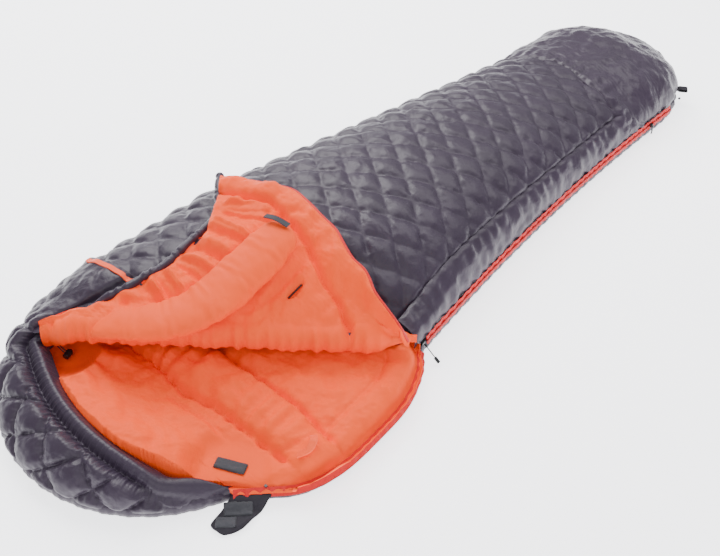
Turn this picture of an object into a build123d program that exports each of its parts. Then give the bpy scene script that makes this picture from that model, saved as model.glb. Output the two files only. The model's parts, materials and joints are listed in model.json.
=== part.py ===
"""Mummy sleeping bag, laid out on the floor with its quilt folded back at the mouth.

Frame: millimetres. The origin is on the underside, on the bag's long centre line.
+Z is up, +Y runs towards the foot and +X towards the side with the zip.
"""
import os
from math import cos, pi, radians, sin, sqrt

from build123d import *

os.makedirs("parts", exist_ok=True)

# ---- driving dimensions ----
GAP = 0.5  # air between two layers of one quilt
FABRIC = 1.5  # thickness given to every plain fabric layer
BASE_TOP = 42.0  # top of the lining of the bottom quilt
QUILT = 30.0  # thickness of the filling in the upper quilt
HOOD_C = (10.0, -785.0)  # centre of the round head end
HOOD_R = 380.0
HOOD_H = 92.0  # height of the hood's roll above the bottom quilt
HOOD_ROLL = 150.0  # width of the hood's roll
RIM_C = (60.0, -390.0)  # centre, in plan, of the hood's rim over the head
RIM_R = 620.0
FOOT_Y = 915.0  # centre of the round foot end
FOOT_R = 250.0
SEAM_Y = 690.0  # seam between the quilted top and the foot box
MOUTH_Y = -336.0  # where the closed tube of the bag begins
SPRING_Z = BASE_TOP + 2.0  # height at which the upper quilt rises from the bottom one
# stations of the upper quilt: place along the bag, half width, rise above SPRING_Z
ARCH = [(MOUTH_Y, 372.0, 180.0), (100.0, 310.0, 184.0), (430.0, 272.0, 162.0), (SEAM_Y, 255.0, 134.0)]
# crease about which the loose part of the quilt folds back
CREASE_A = Vector(392.0, -352.0, 88.0)  # end at the zip
CREASE_B = Vector(-203.0, -963.0, 150.0)  # end at the far side of the face opening
CREASE = (CREASE_B - CREASE_A).normalized()
CREASE_PLAN = Vector(CREASE.X, CREASE.Y, 0).normalized()
CREASE_SIDE = Vector(CREASE_PLAN.Y, -CREASE_PLAN.X, 0)  # level, towards the foot and the far side
CREASE_LENGTH = Vector(CREASE_B.X - CREASE_A.X, CREASE_B.Y - CREASE_A.Y, 0).length
FOLD_BLEND = 280.0  # distance from the crease over which the quilt rises to its full height
FLAP_TIP = (-281.0, -352.0)  # corner between the flap's zip edge and its rim
ZIP_Z = 45.0
ZIP_A = Vector(379.0, -318.0, ZIP_Z)  # main slider
ZIP_B = Vector(300.0, 250.0, ZIP_Z)
FOOT_ZIP_A = Vector(264.0, 830.0, ZIP_Z)  # foot slider
FOOT_ZIP_B = Vector(282.0, 450.0, ZIP_Z)


def save(part, label):
    """Name one finished piece and write it."""
    part.label = label
    export_step(part, f"parts/{label}.step")
    print(f"{label}: {len(part.solids())} solid(s), {part.volume / 1000:.1f} cm3")


# ---- plan outline of the bottom quilt ----
def half_width(y):
    """Half width of the upper quilt at a place along the bag."""
    if y < HOOD_C[1]:
        return sqrt(max(HOOD_R**2 - (y - HOOD_C[1]) ** 2, 1.0)) - HOOD_C[0]
    if y < MOUTH_Y:
        return 371.0
    for (y0, w0, _), (y1, w1, _) in zip(ARCH, ARCH[1:]):
        if y <= y1:
            return w0 + (w1 - w0) * (y - y0) / (y1 - y0)
    return ARCH[-1][1]


def hood_point(angle, radius=HOOD_R):
    """Point in plan on a circle about the centre of the head end."""
    return (HOOD_C[0] + radius * cos(radians(angle)), HOOD_C[1] + radius * sin(radians(angle)))


ZIP_TOP = hood_point(-17)  # corner where the zip ends at the face opening
ZIP_BULGE = [(425, -380), (465, -467), (482, -571), (489, -691), (466, -785), (415, -850)]


def base_outline(height, inset):
    """Outline of the bottom quilt at a height, moved in by an inset."""
    side = [(w - inset, y) for y, w, _ in ARCH]
    foot = FOOT_R - inset
    bulge = [(x - inset, y) for x, y in ZIP_BULGE]
    corner = hood_point(-17, HOOD_R - inset)
    with BuildSketch(Plane.XY.offset(height)) as outline:
        with BuildLine():
            zip_edge = Spline(side[0], *bulge, corner)
            hood_far = (HOOD_C[0] - HOOD_R + inset, HOOD_C[1])
            head = ThreePointArc(zip_edge @ 1, hood_point(-98, HOOD_R - inset), hood_far)
            far_neck = Line(head @ 1, (-side[0][0], side[0][1]))
            far_side = Spline(far_neck @ 1, *[(-x, y) for x, y in side[1:]], (-foot, FOOT_Y))
            toe = ThreePointArc(far_side @ 1, (0, FOOT_Y + foot), (foot, FOOT_Y))
            Spline(toe @ 1, *side[:0:-1], side[0])
        make_face()
    return outline.sketch


with BuildPart() as bottom_shell:
    extrude(base_outline(0, 0), amount=FABRIC)
save(bottom_shell.part, "bottom_shell")

with BuildPart() as bottom_insulation:
    extrude(base_outline(FABRIC, 4), amount=BASE_TOP - 2 * FABRIC)
save(bottom_insulation.part, "bottom_insulation")

with BuildPart() as bottom_lining:
    extrude(base_outline(BASE_TOP - FABRIC, 6), amount=FABRIC)
save(bottom_lining.part, "bottom_lining")


# ---- upper quilt over the body ----
def arch_band(y, width, rise, outer, inner, start=0.0, stop=180.0):
    """Band between two half ellipses, in the vertical plane across the bag at y."""
    with BuildSketch(Plane((0, y, SPRING_Z), x_dir=(1, 0, 0), z_dir=(0, -1, 0))) as band:
        with BuildLine():
            out = EllipticalCenterArc((0, 0), width - outer, rise - outer, start, arc_size=stop - start)
            inn = EllipticalCenterArc((0, 0), width - inner, rise - inner, start, arc_size=stop - start)
            Line(out @ 0, inn @ 0)
            Line(out @ 1, inn @ 1)
        make_face()
    return band.sketch


BAND_ANGLE = 44.0  # the plain side band reaches this far up the zip side
LAYERS = {
    "shell": (0.0, FABRIC),
    "insulation": (FABRIC + GAP, FABRIC + GAP + QUILT),
    "lining": (FABRIC + 2 * GAP + QUILT, 2 * FABRIC + 2 * GAP + QUILT),
}
for layer, (outer, inner) in LAYERS.items():
    first = BAND_ANGLE + 0.4 if layer == "shell" else 0.0
    with BuildPart() as top_quilt:
        loft([arch_band(y, w, h, outer, inner, first, 180) for y, w, h in ARCH])
    save(top_quilt.part, f"top_{layer}")

with BuildPart() as zip_side_band:
    loft([arch_band(y, w, h, 0, FABRIC, 0, BAND_ANGLE) for y, w, h in ARCH])
save(zip_side_band.part, "zip_side_band")


# ---- foot box: the arch carries on and closes in a round end ----
def foot_dome(outer):
    """Solid foot box, outer surface moved in by a layer depth."""
    width = ARCH[-1][1] - outer
    rise = ARCH[-1][2] - outer
    with BuildPart() as dome:
        with BuildSketch(Plane((0, SEAM_Y + 1, SPRING_Z), x_dir=(1, 0, 0), z_dir=(0, -1, 0))):
            with BuildLine():
                arc = EllipticalCenterArc((0, 0), width, rise, 0, arc_size=180)
                Line(arc @ 1, arc @ 0)
            make_face()
        extrude(amount=-500)
        # plan outline, and the slope of the top down to the toe
        with BuildSketch(Plane.XY.offset(SPRING_Z)):
            with BuildLine():
                Polyline((width + 1, FOOT_Y), (width + 1, SEAM_Y), (-width - 1, SEAM_Y), (-width - 1, FOOT_Y))
                ThreePointArc((-width - 1, FOOT_Y), (0, FOOT_Y + FOOT_R - outer), (width + 1, FOOT_Y))
            make_face()
        extrude(amount=300, mode=Mode.INTERSECT)
        with BuildSketch(Plane.YZ.offset(-400)):
            with BuildLine():
                a = (SEAM_Y, SPRING_Z)
                b = (SEAM_Y, SPRING_Z + rise + 1)
                c = (SEAM_Y + 60, SPRING_Z + rise + 1)
                slope = Spline(c, (FOOT_Y + 60, SPRING_Z + 0.78 * rise), (FOOT_Y + FOOT_R - outer, SPRING_Z))
                Polyline(slope @ 1, a, b, c)
            make_face()
        extrude(amount=800, mode=Mode.INTERSECT)
    return dome.part


for layer, (outer, inner) in LAYERS.items():
    outside = foot_dome(outer)
    inside = foot_dome(inner)
    with BuildPart() as foot_box:
        add(outside)
        add(inside, mode=Mode.SUBTRACT)
    save(foot_box.part, f"foot_box_{layer}")


# ---- neck: the upper quilt from the mouth to the crease, and the flap folded back on it ----
def neck_rise(y):
    """Rise of the quilt over the neck, which sinks towards the head."""
    return ARCH[0][2] - 0.085 * max(MOUTH_Y - y, 0)


def fold_height(along, side, outer):
    """Height of the quilt's outer face beside the crease, moved in by a layer depth."""
    at = CREASE_A + CREASE_PLAN * along + CREASE_SIDE * side
    width = max(half_width(at.Y), 40.0) - outer
    rise = neck_rise(at.Y) - outer
    arch = SPRING_Z + rise * sqrt(max(1 - (at.X / width) ** 2, 0.0))
    level = CREASE_A.Z + (CREASE_B.Z - CREASE_A.Z) * along / CREASE_LENGTH - outer
    ease = sin(pi / 2 * min(side / FOLD_BLEND, 1.0))
    return level + (arch - level) * ease


def side_reach(along, outer):
    """Distance from the crease at which the quilt comes down to the bottom quilt."""
    low, high = 20.0, 1100.0
    for _ in range(40):
        mid = (low + high) / 2
        at = CREASE_A + CREASE_PLAN * along + CREASE_SIDE * mid
        if abs(at.X) < half_width(at.Y) - outer:
            low = mid
        else:
            high = mid
    return low


FOLD_STATIONS = (0.0, 150.0, 300.0, 450.0, 600.0, 730.0, 850.0)
FOLD_POINTS = 10


def fold_band(along, outer, inner):
    """Band of the quilt in the vertical plane square to the crease."""
    base = CREASE_A + CREASE_PLAN * along
    plane = Plane((base.X, base.Y, 0), x_dir=CREASE_SIDE, z_dir=-CREASE_PLAN)
    curves = []
    for depth in (outer, inner):
        reach = side_reach(along, depth)
        steps = [reach * sin(pi / 2 * k / (FOLD_POINTS - 1)) for k in range(FOLD_POINTS)]
        curves.append([(s, fold_height(along, s, depth)) for s in steps])
    with BuildSketch(plane) as band:
        with BuildLine():
            out = Spline(*curves[0])
            inn = Spline(*curves[1])
            Line(out @ 0, inn @ 0)
            Line(out @ 1, inn @ 1)
        make_face()
    return band.sketch


NECK_CUT = hood_point(219.8, 700)
with BuildSketch(Plane.XY.offset(-10)) as neck_plan:
    with BuildLine():
        near = CREASE_A + CREASE_SIDE * 3 + CREASE_PLAN * 4
        far = CREASE_B + CREASE_SIDE * 3
        Polyline(
            (near.X, near.Y), (400, MOUTH_Y - 1), (-480, MOUTH_Y - 1), (-560, -900), NECK_CUT, (far.X, far.Y),
            close=True,
        )
    make_face()

for layer, (outer, inner) in LAYERS.items():
    with BuildPart() as neck:
        loft([fold_band(t, outer, inner) for t in FOLD_STATIONS])
        extrude(neck_plan.sketch, amount=500, mode=Mode.INTERSECT)
    save(neck.part, f"neck_{layer}")

# the flap lies on the neck, its dark shell below and its lining on top
FLAP_LIFT = 4.0
FLAP_QUILT = 28.0
FACING_W = 62.0  # padded facing along the zip edge
FLAP_RIM = [(-167, -471), (-128, -590), (-110, -700), (-128, -800), (-165, -880), (-199, -950)]
FLAP_LAYERS = {
    "shell": (-FLAP_LIFT, -FLAP_LIFT - FABRIC),
    "insulation": (-FLAP_LIFT - FABRIC - GAP, -FLAP_LIFT - FABRIC - GAP - FLAP_QUILT),
    "lining": (-FLAP_LIFT - FABRIC - 2 * GAP - FLAP_QUILT, -FLAP_LIFT - 2 * FABRIC - 2 * GAP - FLAP_QUILT),
}
FLAP_TOP = FLAP_LIFT + 2 * FABRIC + 2 * GAP + FLAP_QUILT


def flap_plan(y_low, y_high):
    """Plan of the flap between two places along the bag."""
    near = CREASE_A + CREASE_SIDE * 1 + CREASE_PLAN * 6
    far = CREASE_B + CREASE_SIDE * 1 - CREASE_PLAN * 12
    with BuildSketch(Plane.XY.offset(-10)) as plan:
        with BuildLine():
            rim = Spline(FLAP_TIP, *FLAP_RIM[:-1], (far.X, far.Y))
            Polyline(rim @ 1, (near.X, near.Y), (near.X - 4, FLAP_TIP[1]), rim @ 0)
        make_face()
        with Locations((0, (y_low + y_high) / 2)):
            Rectangle(2000, y_high - y_low, mode=Mode.INTERSECT)
    return plan.sketch


for layer, (outer, inner) in FLAP_LAYERS.items():
    low_y = -1100.0
    high_y = FLAP_TIP[1]
    if layer == "insulation":
        high_y = FLAP_TIP[1] - FACING_W - GAP
    with BuildPart() as flap:
        loft([fold_band(t, outer, inner) for t in FOLD_STATIONS])
        extrude(flap_plan(low_y, high_y), amount=500, mode=Mode.INTERSECT)
    save(flap.part, f"flap_{layer}")

with BuildPart() as zip_facing:
    outer, inner = FLAP_LAYERS["insulation"]
    loft([fold_band(t, outer, inner) for t in FOLD_STATIONS])
    extrude(flap_plan(FLAP_TIP[1] - FACING_W, FLAP_TIP[1]), amount=500, mode=Mode.INTERSECT)
save(zip_facing.part, "zip_facing")


def flap_piece(label, low, high, plan):
    """Layer that follows the flap, from a height to a height above the neck, cut to a plan."""
    with BuildPart() as piece:
        loft([fold_band(t, -low, -high) for t in FOLD_STATIONS])
        extrude(plan, amount=500, mode=Mode.INTERSECT)
    save(piece.part, label)


def plan_box(x_low, x_high, y_low, y_high):
    """Rectangle in plan, below everything."""
    with BuildSketch(Plane.XY.offset(-10)) as box:
        with Locations(((x_low + x_high) / 2, (y_low + y_high) / 2)):
            Rectangle(x_high - x_low, y_high - y_low)
    return box.sketch


ZIP_MID = FLAP_LIFT + FLAP_QUILT / 2
TIP_Y = FLAP_TIP[1]
flap_piece("zip_tape_upper", ZIP_MID - 0.6, ZIP_MID + 0.6, plan_box(FLAP_TIP[0], 384, TIP_Y + 1, TIP_Y + 10))
flap_piece("zip_teeth_upper", ZIP_MID - 1.4, ZIP_MID + 1.4, plan_box(FLAP_TIP[0], 380, TIP_Y + 10.5, TIP_Y + 15))

with BuildLine() as rim_path:
    Spline((FLAP_TIP[0] - 6, TIP_Y - 4), *[(x - 6, y) for x, y in FLAP_RIM])
with BuildSketch(Plane.XY.offset(-10)) as rim_plan:
    trace(rim_path.line, line_width=8)
flap_piece("rim_binding", FLAP_LIFT, FLAP_TOP + 2, rim_plan.sketch)

COLLAR_X = (-12.0, 112.0)
COLLAR_Y = (-720.0, -425.0)
COLLAR_T = 40.0
COLLAR_CLEAR = 62.0  # the collar starts this far from the crease
with BuildSketch(Plane.XY.offset(-10)) as collar_plan:
    with Locations((sum(COLLAR_X) / 2, sum(COLLAR_Y) / 2)):
        RectangleRounded(COLLAR_X[1] - COLLAR_X[0], COLLAR_Y[1] - COLLAR_Y[0], 30)
    with BuildLine():
        a = CREASE_A + CREASE_SIDE * COLLAR_CLEAR
        b = CREASE_B + CREASE_SIDE * COLLAR_CLEAR
        c = b + CREASE_SIDE * 900
        d = a + CREASE_SIDE * 900
        Polyline((a.X, a.Y), (b.X, b.Y), (c.X, c.Y), (d.X, d.Y), close=True)
    make_face(mode=Mode.INTERSECT)
flap_piece("upper_draft_collar", FLAP_TOP + GAP, FLAP_TOP + GAP + COLLAR_T, collar_plan.sketch)
STRIP_Z = FLAP_TOP + 2 * GAP + COLLAR_T
flap_piece("collar_fastener_strip", STRIP_Z, STRIP_Z + FABRIC, plan_box(5, 65, -455, -435))
flap_piece("pocket_panel", FLAP_TOP + GAP, FLAP_TOP + GAP + 1, plan_box(120, 190, -535, -465))
flap_piece("pocket_zip", FLAP_TOP + 2 * GAP + 1, FLAP_TOP + 2 * GAP + 2.5, plan_box(141, 149, -523, -478))

# orange trim across the far side of the neck
with BuildPart() as neck_trim:
    loft([fold_band(t, -GAP - 1, -GAP) for t in FOLD_STATIONS])
    extrude(plan_box(-305, -142, -762, -748), amount=500, mode=Mode.INTERSECT)
save(neck_trim.part, "neck_trim")


# ---- hood round the head end ----
HOOD_FROM = 220.5
HOOD_TO = 342.0
hood_start = Vector(cos(radians(HOOD_FROM)), sin(radians(HOOD_FROM)), 0)
hood_plane = Plane((*HOOD_C, SPRING_Z), x_dir=hood_start, z_dir=(hood_start.Y, -hood_start.X, 0))
HOOD_AXIS = Axis((*HOOD_C, 0), (0, 0, 1))
ROLL_C = (HOOD_R - HOOD_ROLL, 0)
ROLL_END = 100.0
for layer, (outer, inner) in LAYERS.items():
    with BuildPart() as hood:
        with BuildSketch(hood_plane):
            with BuildLine():
                out = EllipticalCenterArc(ROLL_C, HOOD_ROLL - outer, HOOD_H - outer, 0, arc_size=90)
                inn = EllipticalCenterArc(ROLL_C, HOOD_ROLL - inner, HOOD_H - inner, 0, arc_size=90)
                Line(out @ 0, inn @ 0)
                Polyline(out @ 1, (ROLL_END, HOOD_H - outer), (ROLL_END, HOOD_H - inner), inn @ 1)
            make_face()
        revolve(axis=HOOD_AXIS, revolution_arc=HOOD_TO - HOOD_FROM)
        with BuildSketch(Plane.XY):
            with Locations(RIM_C):
                Circle(RIM_R + 10)
        extrude(amount=400, mode=Mode.SUBTRACT)
    save(hood.part, f"hood_{layer}")

RIM_FROM = 246.5
RIM_TO = 290.0
RIM_Z = SPRING_Z + HOOD_H - 12
CHANNEL_R = 8.0
CHANNEL_BORE = 3.0
CORD_R = 1.25
rim_start = Vector(cos(radians(RIM_FROM)), sin(radians(RIM_FROM)), 0)
rim_plane = Plane((*RIM_C, RIM_Z), x_dir=rim_start, z_dir=(rim_start.Y, -rim_start.X, 0))
for label, radius, bore in (("hood_rim_channel", CHANNEL_R, CHANNEL_BORE), ("rim_drawcord", CORD_R, 0)):
    with BuildPart() as ring:
        with BuildSketch(rim_plane):
            with Locations((RIM_R, 0)):
                Circle(radius)
                if bore:
                    Circle(bore, mode=Mode.SUBTRACT)
        revolve(axis=Axis((*RIM_C, 0), (0, 0, 1)), revolution_arc=RIM_TO - RIM_FROM)
    save(ring.part, label)

# the drawcord comes out of the channel as two strands that hang through the cord lock
LOOP_TOP = Vector(-207.0, -955.0, 112.0)
LOCK_AT = Vector(-163.0, -938.0, 66.0)
LOOP = (LOCK_AT - LOOP_TOP).normalized()
LOCK_SIDE = Vector(-LOOP.Y, LOOP.X, 0).normalized()  # level, square to the strands
STRAND_GAP = 5.0
STRAND_TAIL = 8.0  # strand beyond the lock
strand_length = (LOCK_AT - LOOP_TOP).length + STRAND_TAIL
for name, side in (("drawcord_strand_near", -1), ("drawcord_strand_far", 1)):
    start = LOOP_TOP + LOCK_SIDE * (side * STRAND_GAP / 2)
    with BuildPart() as strand:
        with BuildSketch(Plane(start, x_dir=LOCK_SIDE, z_dir=LOOP)):
            Circle(CORD_R)
        extrude(amount=strand_length)
    save(strand.part, name)
print(f"drawcord strands: straight, {strand_length:.0f} mm long")

LOCK_R = 8.0
LOCK_L = 20.0
PLUNGER_R = 5.0
PRESS = 3.0
lock_plane = Plane(LOCK_AT - LOCK_SIDE * (LOCK_L / 2), x_dir=LOOP, z_dir=LOCK_SIDE)
with BuildPart() as cord_lock_barrel:
    with BuildSketch(lock_plane):
        Circle(LOCK_R)
    extrude(amount=LOCK_L)
    fillet(cord_lock_barrel.edges(), 1.5)
    with BuildSketch(lock_plane.offset(4)):
        Circle(PLUNGER_R + 0.3)
    extrude(amount=LOCK_L, mode=Mode.SUBTRACT)
    with BuildSketch(Plane(LOCK_AT - LOOP * 20, x_dir=LOCK_SIDE, z_dir=LOOP)):
        SlotOverall(STRAND_GAP + 4 * CORD_R, 3.6 * CORD_R)
    extrude(amount=40, mode=Mode.SUBTRACT)
save(cord_lock_barrel.part, "cord_lock_barrel")

with BuildPart() as cord_lock_plunger:
    with BuildSketch(lock_plane.offset(4 + PRESS + 4.2)):
        Circle(PLUNGER_R)
    extrude(amount=LOCK_L - 4 - 4.2)
    fillet(cord_lock_plunger.edges().group_by(Axis(LOCK_AT, LOCK_SIDE))[-1], 1)
    with BuildSketch(Plane(LOCK_AT - LOOP * 20, x_dir=LOCK_SIDE, z_dir=LOOP)):
        SlotOverall(STRAND_GAP + 4 * CORD_R + 2 * PRESS + 2, 3.6 * CORD_R)
    extrude(amount=40, mode=Mode.SUBTRACT)
save(cord_lock_plunger.part, "cord_lock_plunger")


# ---- draft collar, patches and tabs on the lining ----
LOWER_COLLAR_Y = -745.0
with BuildPart() as lower_draft_collar:
    with BuildSketch(Plane.YZ.offset(-180)):
        with Locations((LOWER_COLLAR_Y, BASE_TOP + 13.3)):
            Ellipse(58, 13)
    extrude(amount=600)
save(lower_draft_collar.part, "lower_draft_collar")

with BuildPart() as collar_tab:
    with BuildSketch(Plane.XY.offset(BASE_TOP + 0.3)):
        with Locations((447, -738)):
            Rectangle(28, 34, rotation=20)
    extrude(amount=2)
    fillet(collar_tab.edges().filter_by(Axis.Z), 5)
save(collar_tab.part, "collar_tab")

with BuildPart() as loop_patch:
    with BuildSketch(Plane.XY.offset(BASE_TOP)):
        with Locations((333, -860)):
            Rectangle(68, 25, rotation=28)
    extrude(amount=1.5)
save(loop_patch.part, "loop_patch")

TAB_PIVOT = Vector(397.0, -876.0, 26.0)
TAB_ALONG = Vector(0.674, 0.739, 0)
TAB_OUT = Vector(0.739, -0.674, 0)
tab_plane = Plane((TAB_PIVOT.X, TAB_PIVOT.Y, 0.3), x_dir=TAB_ALONG, z_dir=(0, 0, 1))
with BuildPart() as closure_tab:
    with BuildSketch(tab_plane):
        with BuildLine():
            tip = Spline((-62, -44), (-66, -66), (-42, -82), (-4, -70), (34, -30))
            Polyline(tip @ 1, (56, -2), (-26, -2), tip @ 0)
        make_face()
    extrude(amount=2)
save(closure_tab.part, "closure_tab")

with BuildPart() as tab_hook_patch:
    with BuildSketch(tab_plane.offset(2)):
        with Locations((-24, -44)):
            Rectangle(46, 42)
    extrude(amount=1.2)
save(tab_hook_patch.part, "tab_hook_patch")

with BuildPart() as hang_loop:
    angle = radians(33)
    at = Vector(FOOT_R * cos(angle), FOOT_Y + FOOT_R * sin(angle), 50)
    with BuildSketch(Plane(at, x_dir=(cos(angle), sin(angle), 0), z_dir=(sin(angle), -cos(angle), 0))):
        with Locations((23, 0)):
            SlotOverall(30, 10)
            SlotOverall(27, 7, mode=Mode.SUBTRACT)
    extrude(amount=10, both=True)
save(hang_loop.part, "hang_loop")


# ---- zip ----
CHAIN_W = 5.0
CHAIN_T = 2.4
TAPE_T = 0.8
ZIP_END = Vector(247.0, 1012.0, ZIP_Z)
zip_points = [ZIP_A, ZIP_B, FOOT_ZIP_B, FOOT_ZIP_A]
zip_plan = [(p.X, p.Y) for p in zip_points] + [(263, 930), (ZIP_END.X, ZIP_END.Y)]


def zip_strip(label, path, shift, width, thick):
    """Flat strip that follows a path in plan, centred on the height of the zip."""
    with BuildLine() as line:
        Polyline(*[(x + shift, y) for x, y in path])
    with BuildSketch(Plane.XY.offset(ZIP_Z - thick / 2)) as strip:
        trace(line.line, line_width=width)
    with BuildPart() as piece:
        extrude(strip.sketch, amount=thick)
    save(piece.part, label)


zip_strip("zip_chain", zip_plan, 0, CHAIN_W, CHAIN_T)
zip_strip("zip_tape_closed", zip_plan[:4], -CHAIN_W / 2 - 1.8, 2.6, TAPE_T)

open_plan = [(386, -334), *[(x + 1, y) for x, y in ZIP_BULGE[:-1]], (432, -832)]


def open_strip(label, shift, width, low, thick):
    """Flat strip along the open edge of the bottom quilt."""
    with BuildLine() as line:
        Spline(*[(x + shift, y) for x, y in open_plan])
    with BuildSketch(Plane.XY.offset(low)) as strip:
        trace(line.line, line_width=width)
    with BuildPart() as piece:
        extrude(strip.sketch, amount=thick)
    save(piece.part, label)


open_strip("zip_tape_lower", -4, 12, BASE_TOP + 0.2, 1.0)
open_strip("zip_teeth_lower", 5, 4, BASE_TOP + 1.4, 2.4)

with BuildPart() as zip_stops:
    with Locations((423, -840, BASE_TOP + 2), (ZIP_END.X - 1, ZIP_END.Y + 6, ZIP_Z)):
        Box(6, 6, 4)
save(zip_stops.part, "zip_stops")


def slider_body(label, at, towards):
    """C-shaped slider that wraps the chain from outside."""
    along = (towards - at).normalized()
    out = Vector(along.Y, -along.X, 0)
    if out.X < 0:
        out = -out
    with BuildPart() as slider:
        with BuildSketch(Plane(at - along * 6, x_dir=out, z_dir=along)):
            Rectangle(11, 8)
            with Locations((-1.6, 0)):
                Rectangle(9, 3.4, mode=Mode.SUBTRACT)
        extrude(amount=13)
        fillet(slider.edges().filter_by(Axis.Z), 1)
    save(slider.part, label)
    return along, out


MAIN_ALONG, MAIN_OUT = slider_body("zip_slider", ZIP_A, ZIP_B)
FOOT_ALONG, FOOT_OUT = slider_body("foot_slider", FOOT_ZIP_A, FOOT_ZIP_B)


# pull of the main slider: tab, cord and moulded end, hanging to the floor outside the bag
PULL_AT = ZIP_A + MAIN_OUT * 7.5
PULL_DIR = (MAIN_OUT * 44 + Vector(0, 0, -38)).normalized()
PULL_NORMAL = MAIN_ALONG


def pull_stub(start, end, width, thick):
    """Bar along the pull, between two distances from the slider."""
    with BuildPart() as bar:
        with BuildSketch(Plane(PULL_AT + PULL_DIR * start, x_dir=PULL_NORMAL, z_dir=PULL_DIR)):
            Rectangle(width, thick)
        extrude(amount=end - start)
        fillet(bar.edges().filter_by(Axis(PULL_AT, PULL_DIR)), thick * 0.35)
    return bar.part


save(pull_stub(0, 9, 5, 1.6), "pull_tab")
PULL_CORD = 32.0
with BuildPart() as pull_cord:
    with BuildSketch(Plane(PULL_AT + PULL_DIR * 9, x_dir=PULL_NORMAL, z_dir=PULL_DIR)):
        Circle(1.25)
    extrude(amount=PULL_CORD)
save(pull_cord.part, "pull_cord")
save(pull_stub(9 + PULL_CORD, 9 + PULL_CORD + 16, 8, 5), "pull_end")

with BuildPart() as foot_pull:
    with BuildSketch(Plane(FOOT_ZIP_A + FOOT_OUT * 6.5 + Vector(0, 0, -14), x_dir=FOOT_OUT, z_dir=FOOT_ALONG)):
        with Locations((1, 0)):
            Rectangle(2, 28)
    extrude(amount=3, both=True)
save(foot_pull.part, "foot_pull")


# ---- draft tube behind the closed zip ----
TUBE_R = 11.0
with BuildPart() as draft_tube:
    for y, width, _ in ARCH:
        with BuildSketch(Plane((width - 52, y + (6 if y == MOUTH_Y else 0), 57), x_dir=(1, 0, 0), z_dir=(0, -1, 0))):
            Circle(TUBE_R)
    loft()
save(draft_tube.part, "draft_tube")
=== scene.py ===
"""Looks of the mummy sleeping bag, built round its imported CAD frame. Metres, Z up, +Y to the foot."""
import json

import bpy
import numpy as np
from mathutils import Matrix, Vector
from mathutils.bvhtree import BVHTree

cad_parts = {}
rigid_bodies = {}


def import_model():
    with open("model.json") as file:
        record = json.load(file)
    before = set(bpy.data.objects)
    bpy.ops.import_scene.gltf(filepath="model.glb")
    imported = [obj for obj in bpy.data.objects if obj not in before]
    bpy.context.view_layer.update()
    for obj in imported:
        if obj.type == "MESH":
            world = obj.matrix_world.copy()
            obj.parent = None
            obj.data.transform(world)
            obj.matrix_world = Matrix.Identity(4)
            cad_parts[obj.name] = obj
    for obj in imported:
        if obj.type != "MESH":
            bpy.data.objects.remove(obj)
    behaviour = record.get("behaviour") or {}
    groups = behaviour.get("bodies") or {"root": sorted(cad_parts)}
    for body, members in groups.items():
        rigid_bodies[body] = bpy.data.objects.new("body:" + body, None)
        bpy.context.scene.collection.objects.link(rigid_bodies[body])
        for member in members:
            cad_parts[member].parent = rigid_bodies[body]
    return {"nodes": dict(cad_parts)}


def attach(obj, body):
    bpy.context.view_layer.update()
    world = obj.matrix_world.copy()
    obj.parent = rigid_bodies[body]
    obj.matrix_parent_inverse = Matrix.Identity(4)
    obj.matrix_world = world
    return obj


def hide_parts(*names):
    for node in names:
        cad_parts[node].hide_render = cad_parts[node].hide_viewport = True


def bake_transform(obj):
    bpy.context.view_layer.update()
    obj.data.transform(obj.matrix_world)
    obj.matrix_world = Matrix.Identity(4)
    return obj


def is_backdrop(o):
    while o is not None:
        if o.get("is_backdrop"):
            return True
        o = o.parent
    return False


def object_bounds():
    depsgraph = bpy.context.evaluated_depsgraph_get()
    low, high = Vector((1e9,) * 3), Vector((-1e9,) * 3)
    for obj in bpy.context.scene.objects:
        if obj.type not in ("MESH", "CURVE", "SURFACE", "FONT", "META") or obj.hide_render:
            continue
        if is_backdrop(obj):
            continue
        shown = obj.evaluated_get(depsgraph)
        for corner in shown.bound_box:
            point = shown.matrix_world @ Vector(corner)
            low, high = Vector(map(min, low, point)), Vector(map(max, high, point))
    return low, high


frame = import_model()
cad_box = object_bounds()

# ---- sizes shared with the CAD part ----
SPRING_Z = 0.044  # height where the upper quilt rises from the bottom one
MOUTH_Y = -0.336
SEAM_Y = 0.690
FOOT_Y, FOOT_R = 0.915, 0.250
HOOD_C, HOOD_R = np.array([0.010, -0.785]), 0.380
RIM_C, RIM_R = np.array([0.060, -0.390]), 0.620
CREASE_A = np.array([0.392, -0.352, 0.088])
CREASE_B = np.array([-0.203, -0.963, 0.150])
CREASE_LEN = float(np.hypot(*(CREASE_B - CREASE_A)[:2]))
ALONG = (CREASE_B - CREASE_A)[:2] / CREASE_LEN  # in plan, from the zip to the far side
SIDE = np.array([ALONG[1], -ALONG[0]])  # in plan, towards the foot and the far side
FOLD_BLEND = 0.280
FLAP_TOP = 0.036  # lining of the flap above the quilt it lies on
ROLL_R = 0.034  # radius of the fold at the crease
CELL_S, CELL_Y = 0.0636, 0.0423  # half sizes of a quilting diamond, across and along
CELL_S0, CELL_Y0 = 0.0132, -0.4402


# ---- small numeric helpers ----
def smooth(x, low=0.0, high=1.0):
    """0 below low, 1 above high, with an eased step between."""
    t = np.clip((np.asarray(x, float) - low) / (high - low), 0.0, 1.0)
    return t * t * (3 - 2 * t)


def bump(x, centre, width):
    """Rounded hill of height 1."""
    return np.exp(-(((np.asarray(x, float) - centre) / width) ** 2))


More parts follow.
